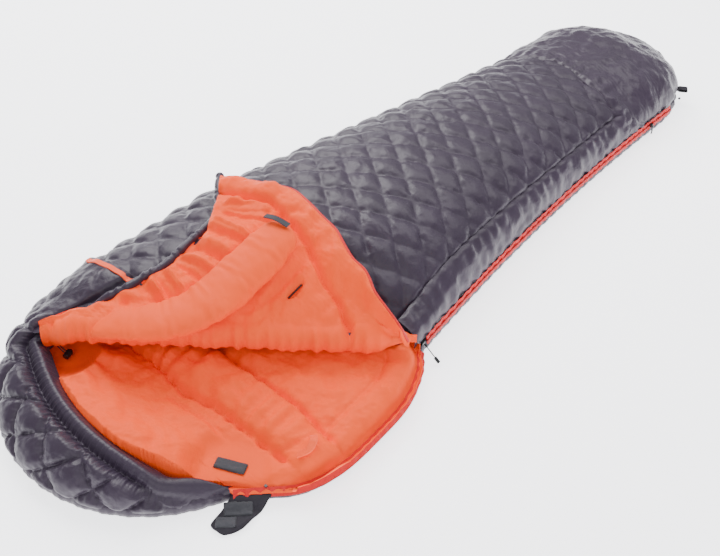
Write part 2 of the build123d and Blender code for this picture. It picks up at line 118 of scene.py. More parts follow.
def waves(x, y, scale, seed, octaves=3):
    """Soft seeded noise from rotated sine products, about -1 to 1."""
    rng = np.random.default_rng(seed)
    total = np.zeros(np.broadcast(x, y).shape)
    weight = 0.0
    size = 1.0
    for _ in range(octaves):
        for _ in range(5):
            a = rng.uniform(0, 2 * np.pi)
            f = 2 * np.pi / scale / size * rng.uniform(0.6, 1.4)
            shift = rng.uniform(0, 2 * np.pi, 2)
            warp = np.sin((x * np.cos(a + 1.3) + y * np.sin(a + 1.3)) * f * 0.7 + shift[1])
            total += size * np.sin((x * np.cos(a) + y * np.sin(a)) * f + shift[0] + 0.9 * warp)
        weight += size * 2.2
        size *= 0.5
    return total / weight


def curve_through(points, count):
    """Even samples of a Catmull-Rom curve through a few points."""
    p = np.asarray(points, float)
    p = np.vstack([2 * p[0] - p[1], p, 2 * p[-1] - p[-2]])
    out = []
    for k in range(1, len(p) - 2):
        t = np.linspace(0, 1, 40, endpoint=False)[:, None]
        a, b, c, d = p[k - 1], p[k], p[k + 1], p[k + 2]
        bend = 2 * a - 5 * b + 4 * c - d
        twist = 3 * b - a - 3 * c + d
        out.append(0.5 * (2 * b + (c - a) * t + bend * t**2 + twist * t**3))
    out = np.vstack(out + [p[-2:-1]])
    far = np.r_[0, np.cumsum(np.linalg.norm(np.diff(out, axis=0), axis=1))]
    at = np.linspace(0, far[-1], count)
    return np.stack([np.interp(at, far, out[:, k]) for k in range(out.shape[1])], axis=1)


def line_distance(x, y, path):
    """Distance in plan from points to a curve, and the place along it from 0 to 1."""
    p = np.asarray(path, float)[:, :2]
    best = np.full(np.shape(x), 1e9)
    place = np.zeros(np.shape(x))
    n = len(p) - 1
    for k in range(n):
        a, d = p[k], p[k + 1] - p[k]
        t = np.clip(((x - a[0]) * d[0] + (y - a[1]) * d[1]) / (d @ d + 1e-12), 0, 1)
        r = np.hypot(x - a[0] - t * d[0], y - a[1] - t * d[1])
        near = r < best
        best = np.where(near, r, best)
        place = np.where(near, (k + t) / n, place)
    return best, place


# ---- body shape, the same formulas as the CAD part's, fitted more closely ----
def half_width(y):
    """Half width of the closed bag."""
    y = np.asarray(y, float)
    k = np.clip(y, MOUTH_Y, 0.9) + 0.09
    w = 0.3368 - 0.1552 * k + 0.0685 * k * k
    head = np.sqrt(np.clip(HOOD_R**2 - (y - HOOD_C[1]) ** 2, 1e-6, None)) - HOOD_C[0]
    w = np.where(y < HOOD_C[1], head, w)
    toe = np.sqrt(np.clip(1 - ((y - FOOT_Y) / FOOT_R) ** 2, 0, 1))
    return np.where(y > FOOT_Y, FOOT_R * toe, w)


def rise(y):
    """Height of the crown above SPRING_Z."""
    k = np.asarray(y, float) + 0.09
    h = 0.1856 + 0.0056 * k - 0.0946 * k * k
    h = np.where(k < MOUTH_Y + 0.09, 0.180 - 0.085 * (MOUTH_Y - y), h)
    h = h + 0.052 * smooth(y, 0.66, 0.98)  # the foot box stands up
    return h * np.clip(1 - (np.clip(y - 0.90, 0, None) / (FOOT_Y + FOOT_R - 0.90 + 0.002)) ** 2.6, 0, 1) ** 0.5


def arc_table(y, count=240):
    """Angles and fabric lengths from the crown to the zip side of one cross-section."""
    angle = np.linspace(np.pi / 2, 0, count)
    x = half_width(y) * np.cos(angle)
    z = rise(y) * np.sin(angle) ** 0.88
    length = np.r_[0, np.cumsum(np.hypot(np.diff(x), np.diff(z)))]
    return x, z, length


def arch_point(s, y, out=0.0):
    """Point of the upper quilt at fabric distance s from the crown; past its edge it tucks into the seam."""
    x, z, length = arc_table(y)
    side = np.sign(s)
    s = np.abs(s)
    gx = np.gradient(x)
    gz = np.gradient(z)
    norm = np.hypot(gx, gz) + 1e-12
    inside = np.minimum(s, length[-1])
    px = np.interp(inside, length, x) - out * np.interp(inside, length, gz / norm)
    pz = np.interp(inside, length, z) + out * np.interp(inside, length, gx / norm)
    past = np.clip(s - length[-1], 0, 0.03)
    return side * (px - 0.15 * past), np.full(np.shape(s), float(y)), SPRING_Z + pz - past


def crease_frame(x, y):
    """Place along the crease and distance from it, in plan."""
    dx = x - CREASE_A[0]
    dy = y - CREASE_A[1]
    return dx * ALONG[0] + dy * ALONG[1], dx * SIDE[0] + dy * SIDE[1]


ZIP_BULGE = [(0.425, -0.380), (0.465, -0.467), (0.482, -0.571), (0.489, -0.691), (0.466, -0.785), (0.415, -0.850)]


def hood_point(angle, radius=HOOD_R):
    """Point in plan on a circle about the head end's centre."""
    a = np.radians(angle)
    return np.stack([HOOD_C[0] + radius * np.cos(a), HOOD_C[1] + radius * np.sin(a)], axis=-1)


def outline(count=900):
    """Closed outline of the bottom quilt in plan, anticlockwise from the main slider."""
    y = np.linspace(MOUTH_Y, FOOT_Y, 60)
    right = np.stack([half_width(y) + 0.002, y], axis=1)
    a = np.radians(np.linspace(3, 177, 40))
    toe = np.stack([FOOT_R * np.cos(a), FOOT_Y + FOOT_R * np.sin(a)], axis=1)
    left = right[::-1] * np.array([-1, 1])
    head = hood_point(np.linspace(180, 343, 60))
    bulge = curve_through([head[-1], *ZIP_BULGE[::-1], right[0]], 60)
    loop = np.vstack([right, toe, left, head, bulge[1:]])
    far = np.r_[0, np.cumsum(np.linalg.norm(np.diff(loop, axis=0), axis=1))]
    at = np.linspace(0, far[-1], count, endpoint=False)
    return np.stack([np.interp(at, far, loop[:, k]) for k in range(2)], axis=1)


# ---- quilting ----
def quilt(s, y, puff=0.0095, s0=CELL_S0, y0=CELL_Y0, cell_s=CELL_S, cell_y=CELL_Y):
    """Height of quilted pillows over diamond stitch lines, and the distance to the nearest stitch line."""
    u = (s - s0) / cell_s
    v = (y - y0) / cell_y
    i = (u + v) / 2
    j = (v - u) / 2
    edge = 2 * cell_s * cell_y / np.hypot(cell_s, cell_y)
    di = np.abs(i - np.round(i)) * edge
    dj = np.abs(j - np.round(j)) * edge
    near = np.minimum(di, dj)
    pillow = (1 - np.exp(-di / 0.010)) * (1 - np.exp(-dj / 0.010))
    return puff * pillow, near


def puckers(s, y, near, depth=0.0016, seed=3):
    """Short creases that run off the stitch lines."""
    ripple = waves(s, y, 0.030, seed, 2) * np.exp(-near / 0.016)
    return depth * ripple


# ---- mesh helpers ----
def mesh_object(name, verts, faces, material, smooth_shade=True):
    """New mesh object from vertex and face arrays."""
    mesh = bpy.data.meshes.new(name)
    if not np.isfinite(np.asarray(verts, float)).all():
        raise ValueError(f"{name} has points that aren't numbers")
    mesh.from_pydata(np.asarray(verts, float).reshape(-1, 3).tolist(), [], [list(f) for f in faces])
    mesh.validate()
    mesh.polygons.foreach_set("use_smooth", [smooth_shade] * len(mesh.polygons))
    mesh.materials.append(material)
    obj = bpy.data.objects.new(name, mesh)
    bpy.context.scene.collection.objects.link(obj)
    return obj


def grid_faces(rows, cols, wrap=False, keep=None):
    """Quads of a grid of points, rows by cols."""
    index = np.arange(rows * cols).reshape(rows, cols)
    if wrap:
        index = np.hstack([index, index[:, :1]])
    quads = np.stack([index[:-1, :-1], index[:-1, 1:], index[1:, 1:], index[1:, :-1]], axis=-1)
    if keep is not None:
        quads = quads[keep]
    return quads.reshape(-1, 4)


def grid_object(name, x, y, z, material, wrap=False, flip=False, keep=None):
    """Mesh object from three grids of coordinates."""
    faces = grid_faces(*x.shape, wrap=wrap, keep=keep)
    if flip:
        faces = faces[:, ::-1]
    return mesh_object(name, np.stack([x, y, z], axis=-1), faces, material)


def normals_of(x, y, z):
    """Unit normals of a grid surface."""
    p = np.stack([x, y, z], axis=-1)
    n = np.cross(np.gradient(p, axis=0), np.gradient(p, axis=1))
    return n / (np.linalg.norm(n, axis=-1, keepdims=True) + 1e-12)


def lift(x, y, z, height):
    """Grid moved along its normals by a height, normals turned to face up on the whole."""
    n = normals_of(x, y, z)
    n = n * np.where(n[..., 2:3].mean() < 0, -1.0, 1.0)
    p = np.stack([x, y, z], axis=-1) + n * height[..., None]
    return p[..., 0], p[..., 1], p[..., 2]


def thicken(obj, thickness=0.0012):
    """Fabric thickness below the surface, as a modifier."""
    mod = obj.modifiers.new("fabric", "SOLIDIFY")
    mod.thickness = thickness
    mod.offset = -1.0
    return obj


def subdivide(obj, levels=1):
    mod = obj.modifiers.new("smooth", "SUBSURF")
    mod.levels = levels
    mod.render_levels = levels
    return obj


def tube(name, points, radius, material, sides=12, squash=1.0):
    """Closed tube along a path, its section kept level."""
    p = np.asarray(points, float)
    n = len(p)
    radius = np.broadcast_to(np.asarray(radius, float), (n,))
    t = np.gradient(p, axis=0)
    t /= np.linalg.norm(t, axis=1, keepdims=True) + 1e-12
    up = np.array([0.0, 0.0, 1.0])
    side = np.cross(t, up)
    side /= np.linalg.norm(side, axis=1, keepdims=True) + 1e-9
    top = np.cross(side, t)
    a = np.linspace(0, 2 * np.pi, sides, endpoint=False)
    ring = side[:, None] * np.cos(a)[None, :, None] + squash * top[:, None] * np.sin(a)[None, :, None]
    verts = p[:, None] + ring * radius[:, None, None]
    faces = [list(f) for f in grid_faces(n, sides, wrap=True)]
    faces.append(list(range(sides))[::-1])
    faces.append([(n - 1) * sides + k for k in range(sides)])
    return mesh_object(name, verts, faces, material)


# ---- materials ----
def fabric(name, colour, roughness=0.55, sheen=0.2, wrinkle=0.25, scale=26.0, weave=0.12, tint=0.12):
    """Woven shell or lining: soft colour changes, small creases and a fine weave."""
    mat = bpy.data.materials.new(name)
    mat.use_nodes = True
    tree = mat.node_tree
    tree.nodes.clear()
    out = tree.nodes.new("ShaderNodeOutputMaterial")
    bsdf = tree.nodes.new("ShaderNodeBsdfPrincipled")
    coord = tree.nodes.new("ShaderNodeTexCoord")
    tree.links.new(bsdf.outputs["BSDF"], out.inputs["Surface"])
    bsdf.inputs["Roughness"].default_value = roughness
    bsdf.inputs["Sheen Weight"].default_value = sheen
    bsdf.inputs["Sheen Roughness"].default_value = 0.4
    bsdf.inputs["Specular IOR Level"].default_value = 0.35
    patch = tree.nodes.new("ShaderNodeTexNoise")
    patch.inputs["Scale"].default_value = 9.0
    patch.inputs["Detail"].default_value = 4.0
    ramp = tree.nodes.new("ShaderNodeValToRGB")
    c = np.array(colour)
    ramp.color_ramp.elements[0].position = 0.3
    ramp.color_ramp.elements[0].color = (*(c * (1 - tint)), 1)
    ramp.color_ramp.elements[1].position = 0.7
    ramp.color_ramp.elements[1].color = (*np.clip(c * (1 + tint), 0, 1), 1)
    tree.links.new(coord.outputs["Object"], patch.inputs["Vector"])
    tree.links.new(patch.outputs["Fac"], ramp.inputs["Fac"])
    tree.links.new(ramp.outputs["Color"], bsdf.inputs["Base Color"])
    crease = tree.nodes.new("ShaderNodeTexNoise")
    crease.inputs["Scale"].default_value = scale
    crease.inputs["Detail"].default_value = 3.0
    crease.inputs["Distortion"].default_value = 1.4
    tree.links.new(coord.outputs["Object"], crease.inputs["Vector"])
    fine = tree.nodes.new("ShaderNodeTexNoise")
    fine.inputs["Scale"].default_value = 900.0
    fine.inputs["Detail"].default_value = 1.0
    tree.links.new(coord.outputs["Object"], fine.inputs["Vector"])
    first = tree.nodes.new("ShaderNodeBump")
    first.inputs["Strength"].default_value = wrinkle
    first.inputs["Distance"].default_value = 0.006
    tree.links.new(crease.outputs["Fac"], first.inputs["Height"])
    second = tree.nodes.new("ShaderNodeBump")
    second.inputs["Strength"].default_value = weave
    second.inputs["Distance"].default_value = 0.0004
    tree.links.new(fine.outputs["Fac"], second.inputs["Height"])
    tree.links.new(first.outputs["Normal"], second.inputs["Normal"])
    tree.links.new(second.outputs["Normal"], bsdf.inputs["Normal"])
    return mat


def plain(name, colour, roughness=0.4, metallic=0.0, grain=0.1, scale=400.0):
    """Moulded or woven small part with a fine grain."""
    mat = bpy.data.materials.new(name)
    mat.use_nodes = True
    tree = mat.node_tree
    bsdf = tree.nodes["Principled BSDF"]
    bsdf.inputs["Base Color"].default_value = (*colour, 1)
    bsdf.inputs["Roughness"].default_value = roughness
    bsdf.inputs["Metallic"].default_value = metallic
    coord = tree.nodes.new("ShaderNodeTexCoord")
    grainy = tree.nodes.new("ShaderNodeTexNoise")
    grainy.inputs["Scale"].default_value = scale
    lump = tree.nodes.new("ShaderNodeBump")
    lump.inputs["Strength"].default_value = grain
    lump.inputs["Distance"].default_value = 0.0005
    tree.links.new(coord.outputs["Object"], grainy.inputs["Vector"])
    tree.links.new(grainy.outputs["Fac"], lump.inputs["Height"])
    tree.links.new(lump.outputs["Normal"], bsdf.inputs["Normal"])
    return mat


SHELL = fabric("shell_fabric", (0.031, 0.020, 0.036), 0.42, 0.06, 0.30, 30.0, 0.10, 0.12)
SHELL_PLAIN = fabric("shell_plain", (0.034, 0.022, 0.039), 0.38, 0.06, 0.40, 20.0, 0.10, 0.12)
LINING = fabric("lining_fabric", (1.0, 0.082, 0.0010), 0.72, 0.0, 0.34, 24.0, 0.10, 0.04)
TRIM = fabric("trim_tape", (0.95, 0.085, 0.008), 0.6, 0.1, 0.1, 30.0, 0.3, 0.05)
ZIP_TAPE = fabric("zip_fabric", (0.62, 0.008, 0.006), 0.6, 0.1, 0.1, 30.0, 0.5, 0.06)
ZIP_COIL = plain("zip_coil", (0.45, 0.006, 0.006), 0.35)
HOOKS = fabric("touch_fastener", (0.055, 0.055, 0.062), 0.9, 0.1, 0.15, 60.0, 0.9, 0.12)
WEBBING = fabric("webbing", (0.022, 0.019, 0.026), 0.8, 0.1, 0.2, 50.0, 0.9, 0.1)
CORD = plain("black_cord", (0.012, 0.012, 0.013), 0.7, 0.0, 0.6, 1500.0)
PLASTIC = plain("black_plastic", (0.010, 0.010, 0.011), 0.35)
METAL = plain("slider_metal", (0.02, 0.02, 0.02), 0.35, 0.6)
FLOOR = plain("paper_floor", (0.93, 0.93, 0.95), 0.95, 0.0, 0.05, 60.0)
FLOOR.node_tree.nodes["Principled BSDF"].inputs["Emission Color"].default_value = (0.97, 0.97, 1.0, 1)
FLOOR.node_tree.nodes["Principled BSDF"].inputs["Emission Strength"].default_value = 2.4


# ---- upper quilt, closed part and neck ----
def near_crease(x, y, z):
    """Height lowered towards the crease, as the folded quilt pulls it down."""
    t, d = crease_frame(x, y)
    level = CREASE_A[2] + (CREASE_B[2] - CREASE_A[2]) * np.clip(t / CREASE_LEN, 0, 1.1)
    k = np.sin(np.pi / 2 * np.clip(d / FOLD_BLEND, 0, 1))
    return np.where(z > level, level + (z - level) * k, z)


def band_width(y):
    """Width of the plain band beside the closed zip."""
    return 0.118 - 0.028 * smooth(y, -0.3, 0.8)


def top_quilt():
    rows = np.arange(-0.980, 0.775, CELL_Y / 8)
    rows = CELL_Y0 + np.round((rows - CELL_Y0) / (CELL_Y / 8)) * (CELL_Y / 8)
    cols = np.arange(-66, 67) * (CELL_S / 8) + CELL_S0
    x = np.zeros((len(rows), len(cols)))
    y, z = x.copy(), x.copy()
    for r, yy in enumerate(rows):
        x[r], y[r], z[r] = arch_point(cols, yy)
    s = np.broadcast_to(cols, x.shape)
    length = np.array([arc_table(yy)[2][-1] for yy in rows])[:, None]
    z = near_crease(x, y, z)
    t, d = crease_frame(x, y)
    cut = d < 0
    x = np.where(cut, x - SIDE[0] * d, x)
    y = np.where(cut, y - SIDE[1] * d, y)
    height, near = quilt(s, y)
    height = height * (1 - 0.55 * smooth(np.abs(s), length - 0.05, length))
    height += puckers(s, y, near, 0.0022) + 0.0015 * waves(s, y, 0.09, 5)
    band = smooth(s, length - band_width(y) - 0.004, length - band_width(y) + 0.008)
    height = height * (1 - band) - 0.007 * band
    seam_bow = 0.030 * bump(x, -0.03, 0.12)
    foot = smooth(y, SEAM_Y + 0.010 + seam_bow, SEAM_Y + 0.022 + seam_bow)
    height = height * (1 - foot) - 0.010 * foot
    dip = 0.010 * (1 - smooth(d, 0.03, 0.12)) * (1 + 1.4 * smooth(0.16 - t, 0.0, 0.08))
    height = height * smooth(d, 0.01, 0.10) - dip
    x, y, z = lift(x, y, z, height - 0.003)
    whole = ~(cut[:-1, :-1] & cut[1:, :-1] & cut[:-1, 1:] & cut[1:, 1:])
    obj = grid_object("upper_quilt", x, y, z, SHELL, flip=True, keep=whole)
    return subdivide(obj)


def side_band():
    y = np.linspace(-0.347, 0.845, 260)
    q = np.linspace(0, 1, 16)
    x = np.zeros((len(y), len(q)))
    yy, z, s = x.copy(), x.copy(), x.copy()
    for r, row in enumerate(y):
        length = arc_table(row)[2][-1]
        fade = 1 - smooth(row, 0.70, 0.845)
        s[r] = length - band_width(row) * fade * (1 - q) + 0.001
        x[r], yy[r], z[r] = arch_point(s[r], row)
    z = near_crease(x, yy, z)
    across = np.broadcast_to(q, x.shape)
    gather = np.sin(yy * 2 * np.pi / 0.043 + 1.5 * np.sin(yy * 23)) * 0.5 + 0.5
    height = 0.0055 * np.sin(np.pi * np.clip(across, 0, 1)) ** 0.5
    height += 0.0042 * (gather - 0.5) * (bump(across, 0.0, 0.45) + 0.8 * bump(across, 1.0, 0.35))
    height += 0.0022 * waves(yy * 0.6, across * 0.1, 0.05, 11)
    height = np.where(across < 0.03, -0.004, height)
    x, yy, z = lift(x, yy, z, height + 0.001)
    return subdivide(grid_object("side_band", x, yy, z, SHELL_PLAIN, flip=True))


def foot_box():
    phi = np.linspace(0, np.pi / 2, 70)
    y = np.r_[np.linspace(SEAM_Y + 0.004, FOOT_Y, 70, endpoint=False), FOOT_Y + (FOOT_R - 0.0015) * np.sin(phi)]
    q = np.linspace(-1, 1, 140)
    x = np.zeros((len(y), len(q)))
    yy, z, s = x.copy(), x.copy(), x.copy()
    for r, row in enumerate(y):
        length = arc_table(row)[2][-1]
        s[r] = q * (length + 0.004)
        x[r], yy[r], z[r] = arch_point(s[r], row)
    seam = bump(yy, SEAM_Y + 0.004, 0.012)
    gather = np.sin(s * 2 * np.pi / 0.034 + 2 * np.sin(s * 19))
    height = 0.005 - 0.010 * seam + 0.0022 * gather * bump(yy, SEAM_Y + 0.03, 0.03)
    height += 0.0040 * waves(x * 0.7, yy, 0.16, 21) + 0.0022 * waves(x, yy, 0.06, 22)
    rim = smooth(np.abs(q)[None, :] * np.ones_like(x), 0.90, 1.0)
    height = height * (1 - rim) + rim * 0.001 * gather
    x, yy, z = lift(x, yy, z, height)
    yy = yy + 0.030 * bump(x, -0.03, 0.12) * (1 - smooth(yy, SEAM_Y, SEAM_Y + 0.15))
    return subdivide(grid_object("foot_box", x, yy, z, SHELL_PLAIN, flip=True))


def bottom_pad():
    loop = outline(1000)
    tangent = np.roll(loop, -1, axis=0) - np.roll(loop, 1, axis=0)
    tangent /= np.linalg.norm(tangent, axis=1, keepdims=True)
    outward = np.stack([tangent[:, 1], -tangent[:, 0]], axis=1)
    far = np.r_[0, np.cumsum(np.linalg.norm(np.diff(loop, axis=0), axis=1))]
    # the wall's section: reach past the outline, height
    profile = [
        (-0.045, 0.0045), (-0.016, 0.0008), (-0.004, 0.003), (0.004, 0.010), (0.006, 0.022),
        (0.003, 0.034), (-0.004, 0.041), (-0.016, 0.043), (-0.030, 0.040),
    ]
    x = np.zeros((len(profile), len(loop)))
    y, z = x.copy(), x.copy()
    ripple = np.sin(far * 2 * np.pi / 0.046 + 2 * np.sin(far * 9)) + 0.6 * np.sin(far * 2 * np.pi / 0.019)
    open_side = smooth(loop[:, 0], 0.30, 0.36) * smooth(-loop[:, 1], 0.322, 0.345)
    open_side = open_side * smooth(loop[:, 1], -0.93, -0.88)
    for k, (reach, level) in enumerate(profile):
        level = level * (1 - 0.48 * open_side * (k > 1))
        side = 0.0020 * ripple * (1 - open_side) * np.exp(-((k - 4.5) / 2.5) ** 2)
        x[k] = loop[:, 0] + outward[:, 0] * (reach + side)
        y[k] = loop[:, 1] + outward[:, 1] * (reach + side)
        z[k] = level + 0.0006 * ripple * (k > 1)
    faces = [list(f) for f in grid_faces(*x.shape, wrap=True)]
    verts = np.stack([x, y, z], axis=-1).reshape(-1, 3)
    # underside: rows from side to side inside the wall's foot
    ys = np.linspace(-1.135, 1.135, 150)
    share = np.linspace(0, 1, 40)
    near_y = np.argsort(np.abs(loop[:, 1][None] - ys[:, None]), axis=1)[:, :14]
    low = np.array([loop[k, 0].min() for k in near_y]) + 0.02
    high = np.array([loop[k, 0].max() for k in near_y]) - 0.02
    ux = low[:, None] + (high - low)[:, None] * share
    uy = np.broadcast_to(ys[:, None], ux.shape)
    pillow, _ = quilt(ux, uy, 0.004, 0.0, 0.0, 0.06, 0.06)
    under = np.stack([ux, uy, 0.0055 - pillow], axis=-1).reshape(-1, 3)
    faces += [[int(v) + len(verts) for v in f[::-1]] for f in grid_faces(*ux.shape)]
    return mesh_object("bottom_quilt", np.vstack([verts, under]), faces, SHELL)


# ---- hood ----
def hood_edges(count=420):
    """Matching outer and inner edges of the hood, from the neck trim to the top of the zip."""
    outer = [(-half_width(v) - 0.002, v, 0.016) for v in np.linspace(-0.752, -0.80, 4)]
    outer += [(*hood_point(a, HOOD_R + 0.001), 0.014) for a in np.linspace(188, 343, 40)]
    inner = [(-0.112, -0.735, 0.176), (-0.128, -0.790, 0.160), (-0.152, -0.850, 0.138), (-0.186, -0.920, 0.114)]
    for a in np.linspace(246, 291, 16):
        p = RIM_C + (RIM_R + 0.012) * np.array([np.cos(np.radians(a)), np.sin(np.radians(a))])
        inner.append((*p, np.interp(a, [246, 258, 272, 284, 291], [0.098, 0.088, 0.088, 0.084, 0.076])))
    inner += [(0.325, -0.936, 0.066), (0.372, -0.900, 0.048)]
    return curve_through(outer, count), curve_through(inner, count)


def hood():
    outer, inner = hood_edges()
    q = np.linspace(0, 1, 84)
    turn = q * np.pi / 2
    plan = (1 - np.cos(turn))[None, :, None]
    body = outer[:, None] * (1 - plan) + inner[:, None] * plan
    width = np.linalg.norm(inner[:, :2] - outer[:, :2], axis=1)[:, None]
    level = outer[:, None, 2] + (inner[:, None, 2] - outer[:, None, 2]) * np.sin(turn)[None] ** 0.80
    level = level + 0.022 * smooth(width, 0.02, 0.14) * np.sin(np.pi * np.clip(plan[..., 0], 0, 1)) ** 0.8
    x, y, z = body[..., 0], body[..., 1], level
    step = np.hypot(np.hypot(np.diff(x, axis=1), np.diff(y, axis=1)), np.diff(z, axis=1))
    along_in = np.c_[np.zeros(len(x)), np.cumsum(step, axis=1)]
    to_rim = along_in[:, -1:] - along_in
    mid = np.r_[0, np.cumsum(np.linalg.norm(np.diff(outer[:, :2], axis=0), axis=1))]
    run = np.broadcast_to(mid[:, None], x.shape)
    height, near = quilt(run, along_in, 0.017, 0.02, 0.0, 0.062, 0.056)
    quilted = smooth(run, 0.20, 0.27) * smooth(to_rim, 0.050, 0.075) * smooth(along_in, 0.0, 0.03)
    height = height * quilted + puckers(run, along_in, near, 0.0030, 8) * quilted
    soft = 1 - smooth(run, 0.20, 0.27)
    height += soft * (0.0045 * waves(x, y, 0.13, 31) + 0.0014 * waves(x, y, 0.06, 32))
    pleat = np.sin(run * 2 * np.pi / 0.021 + 2.2 * np.sin(run * 31)) + 0.6 * np.sin(run * 2 * np.pi / 0.0093)
    narrow = smooth(width, 0.03, 0.10)
    height += narrow * (0.011 * bump(to_rim, 0.020, 0.014) - 0.013 * bump(to_rim, 0.044, 0.008))
    gather = bump(to_rim, 0.050, 0.014) + 0.12 * bump(to_rim, 0.018, 0.02)
    height += narrow * smooth(run, 0.22, 0.30) * 0.0026 * pleat * gather
    height *= smooth(width, 0.0, 0.05)
    n = normals_of(x, y, z)
    n = n * np.where(n[..., 2:].mean() < 0, -1.0, 1.0)
    p = np.stack([x, y, z], axis=-1) + n * height[..., None]
    # the edge turns down into the hood
    inward = inner[:, :2] - outer[:, :2]
    inward /= np.linalg.norm(inward, axis=1, keepdims=True) + 1e-9
    reach = np.minimum(1.0, width / 0.05)
    rows = [p]
    for go, drop in ((0.006, 0.004), (0.008, 0.012), (0.004, 0.022)):
        edge = p[:, -1].copy()
        edge[:, :2] += inward * go * reach
        edge[:, 2] -= drop * reach[:, 0]
        rows.append(edge[:, None])
    p = np.concatenate(rows, axis=1)
    return subdivide(grid_object("hood", p[..., 0], p[..., 1], p[..., 2], SHELL, flip=False))


# ---- lining of the open bag ----
def open_edges(y):
    """Left and right limits of the lower lining at one place along the bag."""
    y = float(y)
    left = -(float(half_width(y)) - 0.016)
    right = float(half_width(y)) - 0.004
    if -0.896 <= y <= -0.336:
        pts = curve_through([(0.377, -0.336), *ZIP_BULGE, (0.373, -0.896)], 120)
        right = float(np.interp(-y, -pts[:, 1], pts[:, 0])) + 0.011
    elif y < -0.896:
        right = float(half_width(y)) + 0.014
    return left, right


SEAM_A = [
    (-0.232, -0.825), (-0.023, -0.804), (0.099, -0.809), (0.176, -0.789), (0.267, -0.781),
    (0.351, -0.776), (0.404, -0.774),
]
SEAM_B = [(-0.16, -0.680), (-0.022, -0.673), (0.109, -0.672), (0.307, -0.659), (0.361, -0.663), (0.432, -0.673)]
SEAM_C = [(0.10, -0.842), (0.164, -0.833), (0.262, -0.824), (0.349, -0.821)]
PATCH_FLAT_AT, PATCH_FLAT_Z = (0.338, -0.862), 0.043  # the lining is kept low under the loop patch
PATCH_FLAT_R, PATCH_FADE_R = 0.06, 0.11
LOCK_DIP_AT, LOCK_DIP_Z = (-0.170, -0.940), 0.050  # and dips round the cord lock


def floor_height(x, y, left, right):
    """Height of the lower lining, with its seams, draft collar, padded edge and hood end."""
    z = np.full(np.shape(x), 0.050)
    a, _ = line_distance(x, y, curve_through(SEAM_A, 60))
    b, _ = line_distance(x, y, curve_through(SEAM_B, 60))
    c, _ = line_distance(x, y, curve_through(SEAM_C, 40))
    seam_a = np.interp(x, [p[0] for p in SEAM_A], [p[1] for p in SEAM_A])
    seam_b = np.interp(x, [p[0] for p in SEAM_B], [p[1] for p in SEAM_B])
    across = np.clip((y - seam_a) / (seam_b - seam_a), 0, 1)
    inside = smooth(x, -0.24, -0.16)
    z = z + 0.026 * inside * np.sin(np.pi * across) ** 0.55
    z = z + 0.010 * smooth(b, 0.0, 0.05) * (y > seam_b) + 0.010 * smooth(a, 0.0, 0.06) * (y < seam_a)
    for gap, depth in ((a, 0.015), (b, 0.015), (c, 0.010)):
        z = z - depth * np.exp(-((gap / 0.007) ** 2))
    # creases square to the collar's seams
    fold = np.sin(x * 2 * np.pi / 0.055 + 2.0 * np.sin(x * 21) + 3 * across)
    z = z + 0.0048 * fold * inside * np.sin(np.pi * across)
    z = z + 0.0040 * np.sin(x * 2 * np.pi / 0.04 + 2 * np.sin(x * 25)) * (np.exp(-a / 0.02) + np.exp(-b / 0.02))
    d, _ = line_distance(x, y, curve_through([(0.377, -0.336), *ZIP_BULGE, (0.373, -0.896)], 80))
    z = z + 0.008 * bump(d, 0.045, 0.022) - 0.005 * np.exp(-(((d - 0.078) / 0.007) ** 2)) * (y < -0.36)
    at_edge = np.exp(-((d / 0.014) ** 2)) * (y < -0.34)
    r = np.hypot(x - RIM_C[0], y - RIM_C[1])
    angle = np.degrees(np.arctan2(y - RIM_C[1], x - RIM_C[0])) % 360
    head = smooth(r, 0.44, 0.64) * (1 - smooth(angle, 285, 300)) * smooth(angle, 180, 215)
    z = z + 0.052 * head
    far = smooth(left + 0.16 - x, 0.0, 0.15)
    z = z + 0.075 * far * (1 - smooth(y, 0.25, 0.45) * 0.4)
    z = z + 0.0060 * waves(x, y, 0.16, 41) + 0.0036 * waves(x, y, 0.07, 42)
    ray = np.arctan2(y + 0.93, x + 0.20)
    z = z + 0.0048 * np.sin(ray * 15 + 2 * np.sin(ray * 5)) * bump(np.hypot(x + 0.20, y + 0.93), 0.13, 0.09)
    wide = np.maximum(half_width(y) - 0.022, 0.03)
    roof = SPRING_Z + (rise(y) - 0.040) * np.sqrt(np.clip(1 - (x / wide) ** 2, 0, 1))
    z = np.where((x < 0) | (y > MOUTH_Y), np.minimum(z, roof), z)
    out = np.hypot(x - HOOD_C[0], y - HOOD_C[1])
    roof = 0.012 + 0.076 * np.sqrt(np.clip(1 - (np.clip(out - 0.225, 0, None) / 0.135) ** 2, 0, 1))
    turn = np.degrees(np.arctan2(y - HOOD_C[1], x - HOOD_C[0])) % 360
    roof = roof * (1 - 0.60 * smooth(turn, 300, 335))
    under_hood = (y < HOOD_C[1]) & (r > np.interp(angle, [280, 292, 302], [RIM_R + 0.006, 0.606, 0.578]))
    z = np.maximum(np.where(under_hood, np.minimum(z, roof), z), 0.022)
    from_patch = np.hypot(x - PATCH_FLAT_AT[0], y - PATCH_FLAT_AT[1])
    patch_zone = 1 - smooth(from_patch, PATCH_FLAT_R, PATCH_FADE_R)
    z = z * (1 - patch_zone) + np.minimum(z, PATCH_FLAT_Z) * patch_zone
    lock = np.hypot(x - LOCK_DIP_AT[0], y - LOCK_DIP_AT[1])
    z = np.minimum(z, LOCK_DIP_Z + 0.11 * smooth(lock, 0.025, 0.20))
    return z * (1 - at_edge) + 0.033 * at_edge


